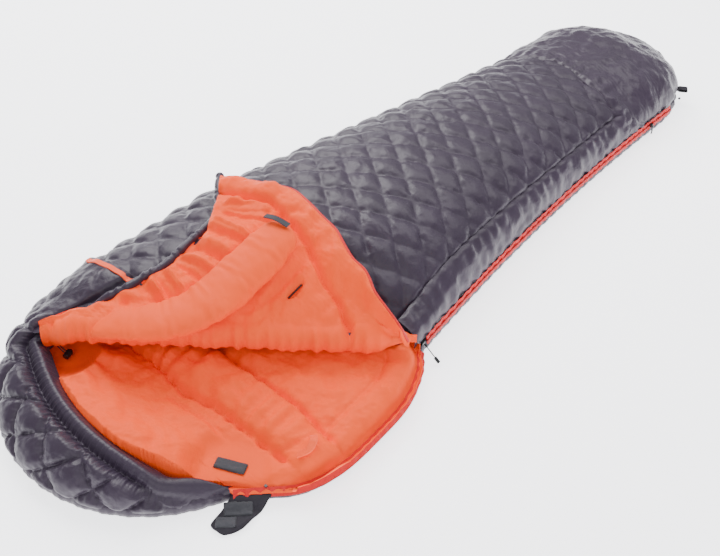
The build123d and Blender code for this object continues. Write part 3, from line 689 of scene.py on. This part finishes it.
def lower_lining():
    rows = np.r_[np.linspace(-1.128, -0.33, 230, endpoint=False), np.linspace(-0.33, 0.42, 90)]
    t = np.linspace(0, 1, 230)
    t = 0.5 * t + 0.5 * (0.5 - 0.5 * np.cos(np.pi * t))
    x = np.zeros((len(rows), len(t)))
    y, left, right = x.copy(), x.copy(), x.copy()
    for r, row in enumerate(rows):
        a, b = open_edges(row)
        x[r] = a + (b - a) * t
        y[r] = row
        left[r], right[r] = a, b
    z = floor_height(x, y, left, right)
    return thicken(grid_object("lower_lining", x, y, z, LINING))


# ---- folded flap ----
# free edges of the folded flap, from the slider round to the hood
ZIP_EDGE = [
    (0.386, -0.371, 0.082), (0.374, -0.390, 0.138), (0.352, -0.394, 0.164), (0.318, -0.395, 0.188),
    (0.286, -0.392, 0.204), (0.239, -0.373, 0.223), (0.195, -0.372, 0.235), (0.145, -0.356, 0.246),
    (0.108, -0.342, 0.251), (0.056, -0.336, 0.257), (-0.009, -0.324, 0.259), (-0.073, -0.317, 0.256),
    (-0.145, -0.337, 0.246), (-0.222, -0.356, 0.228), (-0.281, -0.370, 0.207),
]
RIM_EDGE = [
    (-0.281, -0.370, 0.207), (-0.225, -0.420, 0.208), (-0.162, -0.475, 0.205), (-0.146, -0.531, 0.200),
    (-0.132, -0.593, 0.200), (-0.116, -0.664, 0.195), (-0.122, -0.721, 0.190), (-0.125, -0.767, 0.185),
    (-0.145, -0.819, 0.175), (-0.155, -0.858, 0.170), (-0.186, -0.895, 0.165), (-0.204, -0.937, 0.155),
    (-0.205, -0.966, 0.140),
]
COLLAR = [(0.045, -0.425), (0.050, -0.550), (0.045, -0.670), (0.000, -0.770), (-0.070, -0.850), (-0.140, -0.888)]


def flap_grid(rows_p=330, rows_q=150):
    """Plan of the folded flap: p follows the crease and the free edge, q runs from the crease to that edge."""
    a = curve_through(ZIP_EDGE, rows_p // 2 + 1)
    b = curve_through(RIM_EDGE, rows_p - rows_p // 2)
    edge = np.vstack([a[:-1], b])
    p = np.linspace(0, 1, len(edge))
    crease = CREASE_A + (CREASE_B - CREASE_A) * (0.06 * p + 0.94 * p**0.85)[:, None]
    q = np.linspace(0, 1, rows_q)
    plan = crease[:, None, :2] * (1 - q[None, :, None]) + edge[:, None, :2] * q[None, :, None]
    return edge, crease, p, q, plan


def flap_surface(x, y):
    """Top of the flap's padding where it lies on the upper quilt."""
    t, d = crease_frame(x, y)
    arch = SPRING_Z + rise(y) * np.sqrt(np.clip(1 - (x / np.maximum(half_width(y), 0.05)) ** 2, 0, 1))
    level = CREASE_A[2] + (CREASE_B[2] - CREASE_A[2]) * np.clip(t / CREASE_LEN, 0, 1.05)
    k = np.sin(np.pi / 2 * np.clip(d / FOLD_BLEND, 0, 1))
    return np.maximum(level, level + (arch - level) * k) + FLAP_TOP * smooth(t, 0.0, 0.09)


def flap_lining():
    edge, crease, p, q, plan = flap_grid()
    x, y = plan[..., 0], plan[..., 1]
    z = flap_surface(x, y)
    qq = np.broadcast_to(q, x.shape)
    z = z + (edge[:, 2] - z[:, -1])[:, None] * smooth(qq, 0.45, 1.0)
    zip_path, rim_path = curve_through(ZIP_EDGE, 80), curve_through(RIM_EDGE, 80)
    dz, place_z = line_distance(x, y, zip_path)
    dr, place_r = line_distance(x, y, rim_path)
    dc, _ = line_distance(x, y, curve_through(COLLAR, 60))
    t, d = crease_frame(x, y)
    near_fold = smooth(d, 0.0, 0.06)
    facing = np.sin(np.pi * np.clip(dz / 0.066, 0, 1)) ** 0.6
    height = 0.020 * facing - 0.014 * np.exp(-(((dz - 0.068) / 0.006) ** 2))
    run_z = place_z * 0.70
    height += 0.0035 * facing * np.sin(run_z * 2 * np.pi / 0.075 + 2 * np.sin(run_z * 17))
    short = 0.0026 * np.sin(run_z * 2 * np.pi / 0.03 + 3 * np.sin(run_z * 29))
    height += short * np.exp(-np.abs(dz - 0.07) / 0.018)
    between = smooth(dc, 0.045, 0.075) * smooth(dr, 0.002, 0.03) * (1 - smooth(x, -0.02, 0.04))
    between = between * smooth(dz, 0.07, 0.10)
    run_r = place_r * 0.66
    drape = np.sin(run_r * 2 * np.pi / 0.047 + 1.8 * np.sin(run_r * 13))
    height += between * (0.0115 * drape + 0.0035 * np.sin(run_r * 2 * np.pi / 0.021 + 3 * np.sin(run_r * 37)))
    height += 0.0050 * waves(x, y, 0.14, 51) + 0.0030 * waves(x, y, 0.055, 52)
    height += -0.008 * np.exp(-(((dc - 0.062) / 0.012) ** 2)) * near_fold
    height += 0.012 * smooth(dc, 0.08, 0.16) * smooth(dz, 0.08, 0.13) * smooth(x, 0.05, 0.11) * near_fold
    slit = bump(x, 0.145, 0.006) * smooth(np.abs(y + 0.50), 0.030, 0.018)
    height -= 0.010 * slit
    height *= smooth(1 - qq, 0.0, 0.04)
    z = z + height
    # roll over the crease, down to where the lining enters the bag
    roll = []
    wave = 0.0035 * np.sin(p * 90 + 2 * np.sin(p * 31)) + 0.0022 * np.sin(p * 210)
    start = np.stack([x[:, 0], y[:, 0], z[:, 0]], axis=1)
    axis_z = crease[:, 2]
    shut = smooth(p, 0.0, 0.10) * (1 - 0.5 * smooth(p, 0.90, 1.0))
    sink = 0.030 * smooth(p, 0.88, 1.0)
    for turn in np.linspace(180, 15, 16)[::-1]:
        a = np.radians(turn)
        r = ROLL_R + wave * np.sin(a)
        out = -r * np.sin(a) * shut
        low = axis_z - np.cos(a) * r * (0.2 + 0.8 * smooth(p, 0.0, 0.10))
        top_gap = start[:, 2] - (axis_z + ROLL_R)
        low = low + top_gap * smooth(turn, 60, 180)
        roll.append(np.stack([start[:, 0] + SIDE[0] * out, start[:, 1] + SIDE[1] * out, low - sink], axis=1))
    roll = np.stack(roll, axis=1)
    z = z - sink[:, None] * (1 - smooth(qq, 0.2, 0.9))
    grid = np.concatenate([roll[:, :-1], np.stack([x, y, z], axis=-1)], axis=1)
    # the free edge turns down to the quilt below
    last = grid[:, -1]
    nxt = np.gradient(edge[:, :2], axis=0)
    nxt /= np.linalg.norm(nxt, axis=1, keepdims=True) + 1e-9
    outward = np.stack([-nxt[:, 1], nxt[:, 0]], axis=1)
    centre = np.array([0.0, -0.62])
    sign = np.sign(((edge[:, :2] - centre) * outward).sum(axis=1))
    outward *= sign[:, None]
    rim = []
    for go, drop in ((0.005, 0.006), (0.006, 0.015), (0.0, 0.026)):
        row = last.copy()
        row[:, :2] += outward * go * smooth(p, 0.01, 0.06)[:, None]
        row[:, 2] -= drop * np.clip((last[:, 2] - 0.07) / 0.04, 0.2, 1)
        rim.append(row[:, None])
    grid = np.concatenate([grid, *rim], axis=1)
    obj = grid_object("flap_padding", grid[..., 0], grid[..., 1], grid[..., 2], LINING)
    return obj


def apply_all(obj):
    """Modifiers made final."""
    bpy.context.view_layer.update()
    done = bpy.data.meshes.new_from_object(obj.evaluated_get(bpy.context.evaluated_depsgraph_get()))
    obj.modifiers.clear()
    old = obj.data
    obj.data = done
    bpy.data.meshes.remove(old)
    return obj


# ---- pieces, each tied to its CAD body ----
def own(obj, body, slot, *nodes, fill=None):
    """Ties a visual piece to a body and hides the CAD nodes it stands for."""
    if nodes:
        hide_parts(*nodes)
    if body:
        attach(obj, body)
    return obj


own(top_quilt(), "bag", "shell_fabric", "top_shell", "top_insulation", "neck_shell", "neck_insulation", fill=0.6)
own(side_band(), "bag", "shell_fabric", "zip_side_band", fill=0.5)
own(foot_box(), "bag", "shell_fabric", "foot_box_shell", "foot_box_insulation", "foot_box_lining", fill=0.6)
own(bottom_pad(), "bag", "shell_fabric", "bottom_shell", "bottom_insulation", fill=0.6)
own(hood(), "bag", "shell_fabric", "hood_shell", "hood_insulation", "hood_rim_channel", "rim_drawcord", fill=0.7)
own(lower_lining(), "bag", "lining_fabric", "bottom_lining", "hood_lining", "lower_draft_collar", fill=0.5)

# folded flap: its lining rolls over the crease
lining = flap_lining()
subdivide(lining)
apply_all(lining)
crease_dir = (CREASE_B - CREASE_A) / np.linalg.norm(CREASE_B - CREASE_A)
crease_up = np.array([0, 0, 1.0]) - crease_dir * crease_dir[2]
crease_up /= np.linalg.norm(crease_up)
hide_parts("flap_lining", "zip_facing", "flap_insulation", "pocket_panel")
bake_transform(lining)


def flap_outside():
    """Quilted outer face of the folded flap, which lies on the upper quilt."""
    edge, crease, p, q, plan = flap_grid(170, 90)
    edge, crease, p, plan = edge[20:-22], crease[20:-22], p[20:-22], plan[20:-22]
    x, y = plan[..., 0], plan[..., 1]
    t, d = crease_frame(x, y)
    z = flap_surface(x, y) - 0.026
    z = z + (edge[:, 2] - 0.030 - z[:, -1])[:, None] * smooth(np.broadcast_to(q, x.shape), 0.45, 1.0)
    height, _ = quilt(t, d, 0.006, 0.0, 0.0, 0.05, 0.05)
    z = z - height * smooth(d, 0.0, 0.05)
    first = np.stack([x[:, 0], y[:, 0], z[:, 0]], axis=1)
    rows = []
    for go, drop in ((-0.004, -0.012), (-0.016, -0.002)):
        row = first.copy()
        row[:, :2] += SIDE * go
        row[:, 2] -= drop
        rows.append(row[:, None])
    grid = np.concatenate([*rows[::-1], np.stack([x, y, z], axis=-1)], axis=1)
    return grid_object("flap_outside", grid[..., 0], grid[..., 1], grid[..., 2], SHELL)


own(thicken(flap_outside()), "flap", "shell_fabric", "flap_shell")


def cavity_ceiling():
    """Lining under the upper quilt, seen only in the mouth."""
    p = np.linspace(0.07, 1.0, 120)
    depth = np.linspace(-0.018, 0.46, 60)
    at = CREASE_A + (CREASE_B - CREASE_A) * p[:, None]
    x = at[:, 0, None] + SIDE[0] * depth
    y = at[:, 1, None] + SIDE[1] * depth
    wide = np.maximum(half_width(y) - 0.040, 0.03)
    x = np.clip(x, -wide, wide)
    z = SPRING_Z + (rise(y) - 0.032) * np.sqrt(np.clip(1 - (x / (wide + 0.004)) ** 2, 0, 1))
    level = at[:, 2, None] - 0.024
    k = np.sin(np.pi / 2 * np.clip(depth / 0.34, 0, 1))[None]
    z = np.minimum(level + (z - level) * k, np.maximum(z, 0.05)) + 0.003 * waves(x, y, 0.07, 61)
    return thicken(grid_object("mouth_lining", x, y, z, LINING))


own(cavity_ceiling(), "bag", "lining_fabric", "top_lining", "neck_lining", "draft_tube")


def heights_on(names, points, extra=0.0):
    """Points dropped onto the highest of some objects."""
    bpy.context.view_layer.update()
    graph = bpy.context.evaluated_depsgraph_get()
    trees = []
    for n in names:
        mesh = bpy.data.objects[n].evaluated_get(graph).to_mesh()
        trees.append(BVHTree.FromPolygons([v.co[:] for v in mesh.vertices],
                [f.vertices[:] for f in mesh.polygons]))
    placed = []
    for p in np.asarray(points, float):
        hits = [t.ray_cast(Vector((p[0], p[1], 0.5)), Vector((0, 0, -1)))[0] for t in trees]
        tops = [h[2] for h in hits if h is not None]
        placed.append([p[0], p[1], (max(tops) if tops else p[2]) + extra])
    return np.array(placed)


# ---- upper draft collar ----
def upper_collar():
    path = curve_through(COLLAR, 150)
    n = len(path)
    at = np.linspace(0, 1, n)
    half = np.interp(at, [0, 0.15, 0.45, 0.7, 0.88, 1.0], [0.050, 0.062, 0.064, 0.054, 0.040, 0.026])
    tall = half * 0.50
    lay = flap_surface(path[:, 0], path[:, 1])
    t, d = crease_frame(path[:, 0], path[:, 1])
    lay = lay + 0.004 - 0.020 * smooth(d, 0.03, -0.02) - 0.035 * smooth(at, 0.82, 1.0)
    tangent = np.gradient(path, axis=0)
    tangent /= np.linalg.norm(tangent, axis=1, keepdims=True)
    side = np.stack([tangent[:, 1], -tangent[:, 0]], axis=1)
    a = np.linspace(0, 2 * np.pi, 56, endpoint=False)
    end = np.sqrt(np.clip(1 - (1 - np.clip(np.minimum(at / 0.06, (1 - at) / 0.08), 0, 1)) ** 2, 0.02, 1))
    wrinkle = 1 + 0.05 * np.sin(at * 95 + 2 * np.sin(at * 40))[:, None] * np.cos(a * 2 + 1)[None]
    wrinkle = wrinkle + 0.05 * waves(at[:, None] * 0.6, a[None] * 0.05, 0.08, 71)
    rx = half[:, None] * end[:, None] * wrinkle
    rz = tall[:, None] * end[:, None] * wrinkle
    x = path[:, 0, None] + side[:, 0, None] * rx * np.cos(a)
    y = path[:, 1, None] + side[:, 1, None] * rx * np.cos(a)
    z = (lay + tall * 0.75)[:, None] + rz * np.sin(a)
    verts = np.stack([x, y, z], axis=-1)
    faces = [list(f) for f in grid_faces(n, len(a), wrap=True)]
    faces += [list(range(len(a)))[::-1], [(n - 1) * len(a) + k for k in range(len(a))]]
    return mesh_object("upper_draft_collar_visual", verts, faces, LINING)


collar = apply_all(subdivide(upper_collar()))
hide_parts("upper_draft_collar")
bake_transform(collar)


def ribbon(name, points, width, thickness, material, normal=None, count=120, ripple=0.0):
    """Flat strip along a path, its face turned to a direction."""
    p = curve_through(points, count)
    t = np.gradient(p, axis=0)
    t /= np.linalg.norm(t, axis=1, keepdims=True) + 1e-9
    face = np.array([0, 0, 1.0]) if normal is None else np.asarray(normal, float)
    side = np.cross(t, np.broadcast_to(face, t.shape))
    side /= np.linalg.norm(side, axis=1, keepdims=True) + 1e-9
    up = np.cross(side, t)
    far = np.r_[0, np.cumsum(np.linalg.norm(np.diff(p, axis=0), axis=1))]
    wave = ripple * np.sin(far * 2 * np.pi / 0.03 + 2 * np.sin(far * 23))
    w, h = width / 2, thickness / 2
    shape = [(-w, -h), (w, -h), (w, h), (-w, h)]
    verts = np.stack([p + side * (a) + up * (b + wave)[:, None] for a, b in shape], axis=1)
    faces = [list(f) for f in grid_faces(len(p), 4, wrap=True)]
    faces += [[3, 2, 1, 0], [(len(p) - 1) * 4 + k for k in range(4)]]
    return mesh_object(name, verts, faces, material, smooth_shade=False)


def teeth(name, points, width, thickness, material, pitch=0.0032):
    """Coil of a zip as a closely ribbed strip."""
    p = curve_through(points, 60)
    length = float(np.linalg.norm(np.diff(p, axis=0), axis=1).sum())
    count = int(length / pitch) * 4
    p = curve_through(points, count)
    swell = 0.72 + 0.28 * np.cos(np.arange(count) * np.pi / 2)
    return tube(name, p, width / 2 * swell, material, sides=8, squash=thickness / width)


# collar's fastener strip and the pocket's zip
lift_c = float(flap_surface(np.array(0.03), np.array(-0.442)))
strip_path = [
    (-0.004, -0.452, lift_c + 0.049), (0.028, -0.446, lift_c + 0.056), (0.062, -0.438, lift_c + 0.050),
]
strip = ribbon("collar_fastener", strip_path, 0.014, 0.003, HOOKS, count=20)
own(strip, "flap", "touch_fastener", "collar_fastener_strip")
slit_path = heights_on(["flap_padding"], [(0.146, -0.523, 0.2), (0.144, -0.478, 0.2)], 0.002)
slit = ribbon("pocket_slit", slit_path, 0.0045, 0.002, PLASTIC, count=16)
own(slit, "flap", "black_plastic", "pocket_zip")

# red zip tape and teeth on the flap's free edge, from near the slider
edge_line = curve_through([(a, b + 0.007, c - 0.010) for a, b, c in ZIP_EDGE], 200)
own(tube("flap_zip_tape", edge_line[6:], 0.0045, ZIP_TAPE, sides=10), "flap", "zip_fabric", "zip_tape_upper")
own(teeth("flap_zip_teeth", edge_line[6::8] + np.array([0, 0.0045, -0.002]), 0.0045, 0.003, ZIP_COIL), "flap",
        "zip_coil", "zip_teeth_upper")

# dark binding along the rim of the flap
rim_line = curve_through(RIM_EDGE, 296)[:260]
rim_line[:, 0] -= 0.008
rim_line[:, 2] += 0.001 - 0.016 * smooth(np.arange(260), 200, 259)
far = np.linspace(0, 1, len(rim_line))
rim_wave = 0.0100 - 0.006 * smooth(far, 0.85, 1.0) + 0.0014 * np.sin(far * 120 + 2 * np.sin(far * 47))
own(tube("rim_binding_visual", rim_line, rim_wave, SHELL_PLAIN, sides=14), "flap", "shell_fabric", "rim_binding")

# neck trim
trim_points = [
    (-0.322, -0.762, 0.142), (-0.304, -0.763, 0.164), (-0.250, -0.760, 0.186),
    (-0.190, -0.754, 0.202), (-0.132, -0.746, 0.208),
]
trim_path = curve_through(trim_points, 60)
trim_path = heights_on(["upper_quilt", "hood"], trim_path, 0.0015)
trim_path[2:-2, 2] = np.convolve(trim_path[:, 2], np.ones(5) / 5, "valid")
own(ribbon("neck_trim_visual", trim_path, 0.013, 0.003, TRIM, normal=(-0.5, 0, 0.85), count=60), "bag",
        "lining_fabric", "neck_trim")

# ---- zip ----
side_y = np.linspace(-0.304, FOOT_Y, 80)
run = [(float(half_width(v)) + 0.011, v, 0.044) for v in side_y]
toe_r = FOOT_R + 0.012
run += [(toe_r * np.cos(a), FOOT_Y + toe_r * np.sin(a), 0.044) for a in np.radians([7, 13, 18, 21])]
run = np.array(run)
own(teeth("zip_chain_visual", run[::5], 0.0060, 0.0050, ZIP_COIL), "bag", "zip_coil", "zip_chain")
outw = (1, 0.13, 0.15)
tape = ribbon("zip_tape_visual", run[::4] - np.array([0.0025, 0, 0]), 0.025, 0.0016, ZIP_TAPE, normal=outw,
        count=300, ripple=0.0012)
own(tape, "bag", "zip_fabric", "zip_tape_closed")
lower = curve_through([(0.381, -0.330), *ZIP_BULGE, (0.378, -0.896)], 120)
lower3 = np.c_[lower, np.full(len(lower), 0.030)]
lower3[:, 0] += 0.005
own(ribbon("open_zip_tape", lower3, 0.020, 0.0018, ZIP_TAPE, normal=(0.75, -0.15, 0.65), count=200,
        ripple=0.0015), "bag", "zip_fabric", "zip_tape_lower")
low_teeth = lower3[::6] + np.array([0.006, 0, -0.009])
own(teeth("open_zip_teeth", low_teeth, 0.0050, 0.0035, ZIP_COIL), "bag", "zip_coil", "zip_teeth_lower")

# ---- drawcord, its lock, and the zip pull's cord ----
LOOP_TOP = np.array([-0.207, -0.955, 0.112])
LOCK_AT = np.array([-0.163, -0.938, 0.066])


def show_cad(node, material):
    """Gives a carried-over CAD node its material."""
    obj = frame["nodes"][node]
    obj.data.materials.clear()
    obj.data.materials.append(material)
    for poly in obj.data.polygons:
        poly.material_index = 0
    return obj


def cord_curve(name, points, diameter, material):
    """Free cord as a NURBS curve through its route."""
    data = bpy.data.curves.new(name, "CURVE")
    data.dimensions = "3D"
    data.bevel_depth = diameter / 2
    data.bevel_resolution = 4
    data.use_fill_caps = True
    spline = data.splines.new("NURBS")
    spline.points.add(len(points) - 1)
    for k, p in enumerate(points):
        spline.points[k].co = (*p, 1)
    spline.order_u = 3
    spline.use_endpoint_u = True
    data.materials.append(material)
    obj = bpy.data.objects.new(name, data)
    bpy.context.scene.collection.objects.link(obj)
    return obj


LOOP_DIR = (LOCK_AT - LOOP_TOP) / np.linalg.norm(LOCK_AT - LOOP_TOP)
LOOP_SIDE = np.array([-LOOP_DIR[1], LOOP_DIR[0], 0.0])
LOOP_SIDE /= np.linalg.norm(LOOP_SIDE)
STRAND_LEN = float(np.linalg.norm(LOCK_AT - LOOP_TOP)) + 0.008
for label, sign in (("drawcord_strand_near", -1), ("drawcord_strand_far", 1)):
    start = LOOP_TOP + LOOP_SIDE * sign * 0.0025
    route = [start + LOOP_DIR * STRAND_LEN * k / 6 for k in range(7)]
    strand = cord_curve(label + "_visual", route, 0.0025, CORD)
    own(strand, "bag", "black_cord", label)

ZIP_A = np.array([0.379, -0.318, 0.045])
ZIP_OUT = np.array([0.300 - 0.379, 0.250 + 0.318, 0.0])
ZIP_OUT = np.array([ZIP_OUT[1], -ZIP_OUT[0], 0.0]) / np.linalg.norm(ZIP_OUT)
PULL_AT = ZIP_A + ZIP_OUT * 0.0075
PULL_DIR = ZIP_OUT * 0.044 + np.array([0, 0, -0.038])
PULL_DIR /= np.linalg.norm(PULL_DIR)
pull_start = PULL_AT + PULL_DIR * 0.009
pull_route = [pull_start + PULL_DIR * 0.032 * k / 4 for k in range(5)]
pull = cord_curve("pull_cord_visual", pull_route, 0.0025, CORD)
own(pull, "main_pull", "black_cord", "pull_cord")
show_cad("pull_end", PLASTIC)

# ---- CAD pieces shown as they are ----
for node in ("zip_slider", "pull_tab", "foot_slider", "foot_pull"):
    show_cad(node, METAL)
for node in ("cord_lock_barrel", "cord_lock_plunger", "zip_stops"):
    show_cad(node, PLASTIC)
show_cad("hang_loop", WEBBING)
loop_out = np.array([np.cos(np.radians(33)), np.sin(np.radians(33)), 0.0])
loop_foot = [np.array([0, FOOT_Y, 0.050]) + loop_out * r for r in (0.236, 0.248, 0.262)]
own(ribbon("hang_loop_base", loop_foot, 0.022, 0.004, WEBBING, count=12), "bag", "webbing")

# ---- closure tab and fastener patches ----
TAB_PIVOT = np.array([0.397, -0.876, 0.026])
TAB_ALONG, TAB_OUT = np.array([0.674, 0.739]), np.array([0.739, -0.674])
# millimetres along the tab's hinge and out from it
TAB_PLAN = [
    (-26, 2), (-46, 24), (-62, 44), (-69, 56), (-66, 66), (-54, 76), (-42, 82), (-24, 79),
    (-4, 70), (16, 49), (34, 30), (47, 14), (56, 2), (30, 1), (2, 1), (-26, 2),
]


def closure_tab():
    """Padded tab that hangs from the edge to the floor, cut as a rounded leaf."""
    plan = curve_through(TAB_PLAN, 160) / 1000
    centre = np.array([-0.006, 0.036])
    rings = np.array([0.0, 0.35, 0.65, 0.86, 0.90, 0.97, 1.0])
    puffs = [0.0030, 0.0032, 0.0034, 0.0032, 0.0022, 0.0026, 0.0004]
    verts, faces = [], []
    n = len(plan)
    for face_sign in (1, -1):
        for k, f in enumerate(rings):
            q = centre + (plan - centre) * f
            out = np.clip(q[:, 1], 0, None)
            drop = 0.020 * smooth(out, 0.0, 0.035)
            puff = puffs[k]
            flat = TAB_PIVOT[None, :2] + q[:, :1] * TAB_ALONG + q[:, 1:] * TAB_OUT
            bend = 0.0022 * waves(flat[:, 0], flat[:, 1], 0.06, 81)
            z = TAB_PIVOT[2] - drop + face_sign * puff + bend
            verts.append(np.c_[flat, np.maximum(z, 0.0012)])
    verts = np.concatenate(verts)
    m = len(rings)
    for s in range(2):
        for k in range(m - 1):
            a, b = (s * m + k) * n, (s * m + k + 1) * n
            for i in range(n - 1):
                quad = [a + i, a + i + 1, b + i + 1, b + i]
                faces.append(quad if s else quad[::-1])
    a, b = (m - 1) * n, (2 * m - 1) * n
    for i in range(n - 1):
        faces.append([a + i, a + i + 1, b + i + 1, b + i])
    return mesh_object("closure_tab_visual", verts, faces, WEBBING)


own(closure_tab(), "closure_tab", "webbing", "closure_tab")


def patch(name, centre, along, length, width, z, material, lumps=0.0008, thickness=0.003):
    """Thin rounded fastener patch lying on a surface."""
    a = np.asarray(along, float)
    a /= np.linalg.norm(a)
    b = np.array([-a[1], a[0]])
    u, v = np.meshgrid(np.linspace(-0.5, 0.5, 26), np.linspace(-0.5, 0.5, 12), indexing="ij")
    x = centre[0] + a[0] * u * length + b[0] * v * width
    y = centre[1] + a[1] * u * length + b[1] * v * width
    level = z(x, y) if callable(z) else np.full(x.shape, z)
    level = level + lumps * waves(x, y, 0.012, 91)
    rim = np.maximum(np.abs(u), np.abs(v)) * 2
    level = level - thickness * smooth(rim, 0.88, 1.0)
    return thicken(grid_object(name, x, y, level, material), 0.002)


def tab_top(x, y):
    out = (x - TAB_PIVOT[0]) * TAB_OUT[0] + (y - TAB_PIVOT[1]) * TAB_OUT[1]
    return TAB_PIVOT[2] - 0.020 * smooth(out, 0.0, 0.035) + 0.0022 * waves(x, y, 0.06, 81) + 0.0052


TAB_HOOKS = [("tab_hook_upper", (-14, 28), (0.058, 0.024)), ("tab_hook_lower", (-38, 55), (0.040, 0.024))]
for label, (along_mm, out_mm), size in TAB_HOOKS:
    centre = TAB_PIVOT[:2] + TAB_ALONG * along_mm / 1000 + TAB_OUT * out_mm / 1000
    piece = patch(label, centre, TAB_ALONG, *size, tab_top, HOOKS)
    own(piece, "closure_tab", "touch_fastener", "tab_hook_patch")


def on_lining(x, y):
    """Height of the lining, or of the hood where it is higher, with room for a patch."""
    points = np.c_[x.ravel(), y.ravel(), x.ravel()]
    return heights_on(["lower_lining", "hood"], points, 0.004)[:, 2].reshape(x.shape)


turned = np.radians(28)
loop_centre = (0.333, -0.860)
loop_along = (np.cos(turned), np.sin(turned))
loop = patch("loop_patch_visual", loop_centre, loop_along, 0.068, 0.025, on_lining, HOOKS)
own(loop, "bag", "touch_fastener", "loop_patch")
bow_points = [(0.418, -0.700, 0.060), (0.440, -0.718, 0.062), (0.446, -0.740, 0.058), (0.430, -0.756, 0.054)]
bow = curve_through(bow_points, 30)
bow = heights_on(["lower_lining"], bow, 0.003)
bow[:, 2] += 0.012 * np.sin(np.linspace(0, np.pi, 30))
own(ribbon("collar_tab_visual", bow, 0.016, 0.004, TRIM, count=30), "bag", "lining_fabric", "collar_tab")

# ---- light, floor and camera ----
bpy.ops.mesh.primitive_plane_add(size=30, location=(0, 0, -0.0005))
floor = bpy.context.object
floor.name = "floor"
floor.data.materials.append(FLOOR)
floor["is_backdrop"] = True


def soft_light(name, at, to, size, power, colour=(1, 1, 1)):
    data = bpy.data.lights.new(name, "AREA")
    data.shape = "RECTANGLE"
    data.size = size[0]
    data.size_y = size[1]
    data.energy = power
    data.color = colour
    obj = bpy.data.objects.new(name, data)
    obj.location = at
    obj.rotation_euler = (Vector(to) - Vector(at)).to_track_quat("-Z", "Y").to_euler()
    bpy.context.scene.collection.objects.link(obj)
    return obj


soft_light("key", (-2.6, 0.6, 3.0), (0, 0, 0), (2.6, 2.6), 190)
soft_light("fill", (2.4, -2.6, 3.0), (0, 0, 0), (3.2, 3.2), 60)
soft_light("top", (0.2, 1.8, 3.6), (0, 0.2, 0), (3.0, 3.0), 90)
world = bpy.data.worlds.new("studio")
bpy.context.scene.world = world
world.use_nodes = True
world.node_tree.nodes["Background"].inputs["Color"].default_value = (0.93, 0.94, 1.0, 1)
world.node_tree.nodes["Background"].inputs["Strength"].default_value = 0.75

AZ, PITCH, ROLL = 0.7996, 0.7591, -0.0116
back = np.array([np.sin(AZ) * np.cos(PITCH), -np.cos(AZ) * np.cos(PITCH), np.sin(PITCH)])
right = np.array([np.cos(AZ), np.sin(AZ), 0.0])
above = np.cross(back, right)
cam_x = np.cos(ROLL) * right + np.sin(ROLL) * above
cam_y = -np.sin(ROLL) * right + np.cos(ROLL) * above
camera = bpy.data.objects.new("camera", bpy.data.cameras.new("camera"))
camera.data.lens = 47.7
camera.data.sensor_width = 36
cam_at = (1.3744, -1.4871, 1.7073)
camera.matrix_world = Matrix(np.vstack([np.c_[cam_x, cam_y, back, cam_at], [0, 0, 0, 1]]).tolist())
bpy.context.scene.collection.objects.link(camera)
bpy.context.scene.camera = camera

scene_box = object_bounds()
boxes = (("cad", cad_box), ("visual", scene_box))
size = {name: [[float(v) for v in corner] for corner in box] for name, box in boxes}
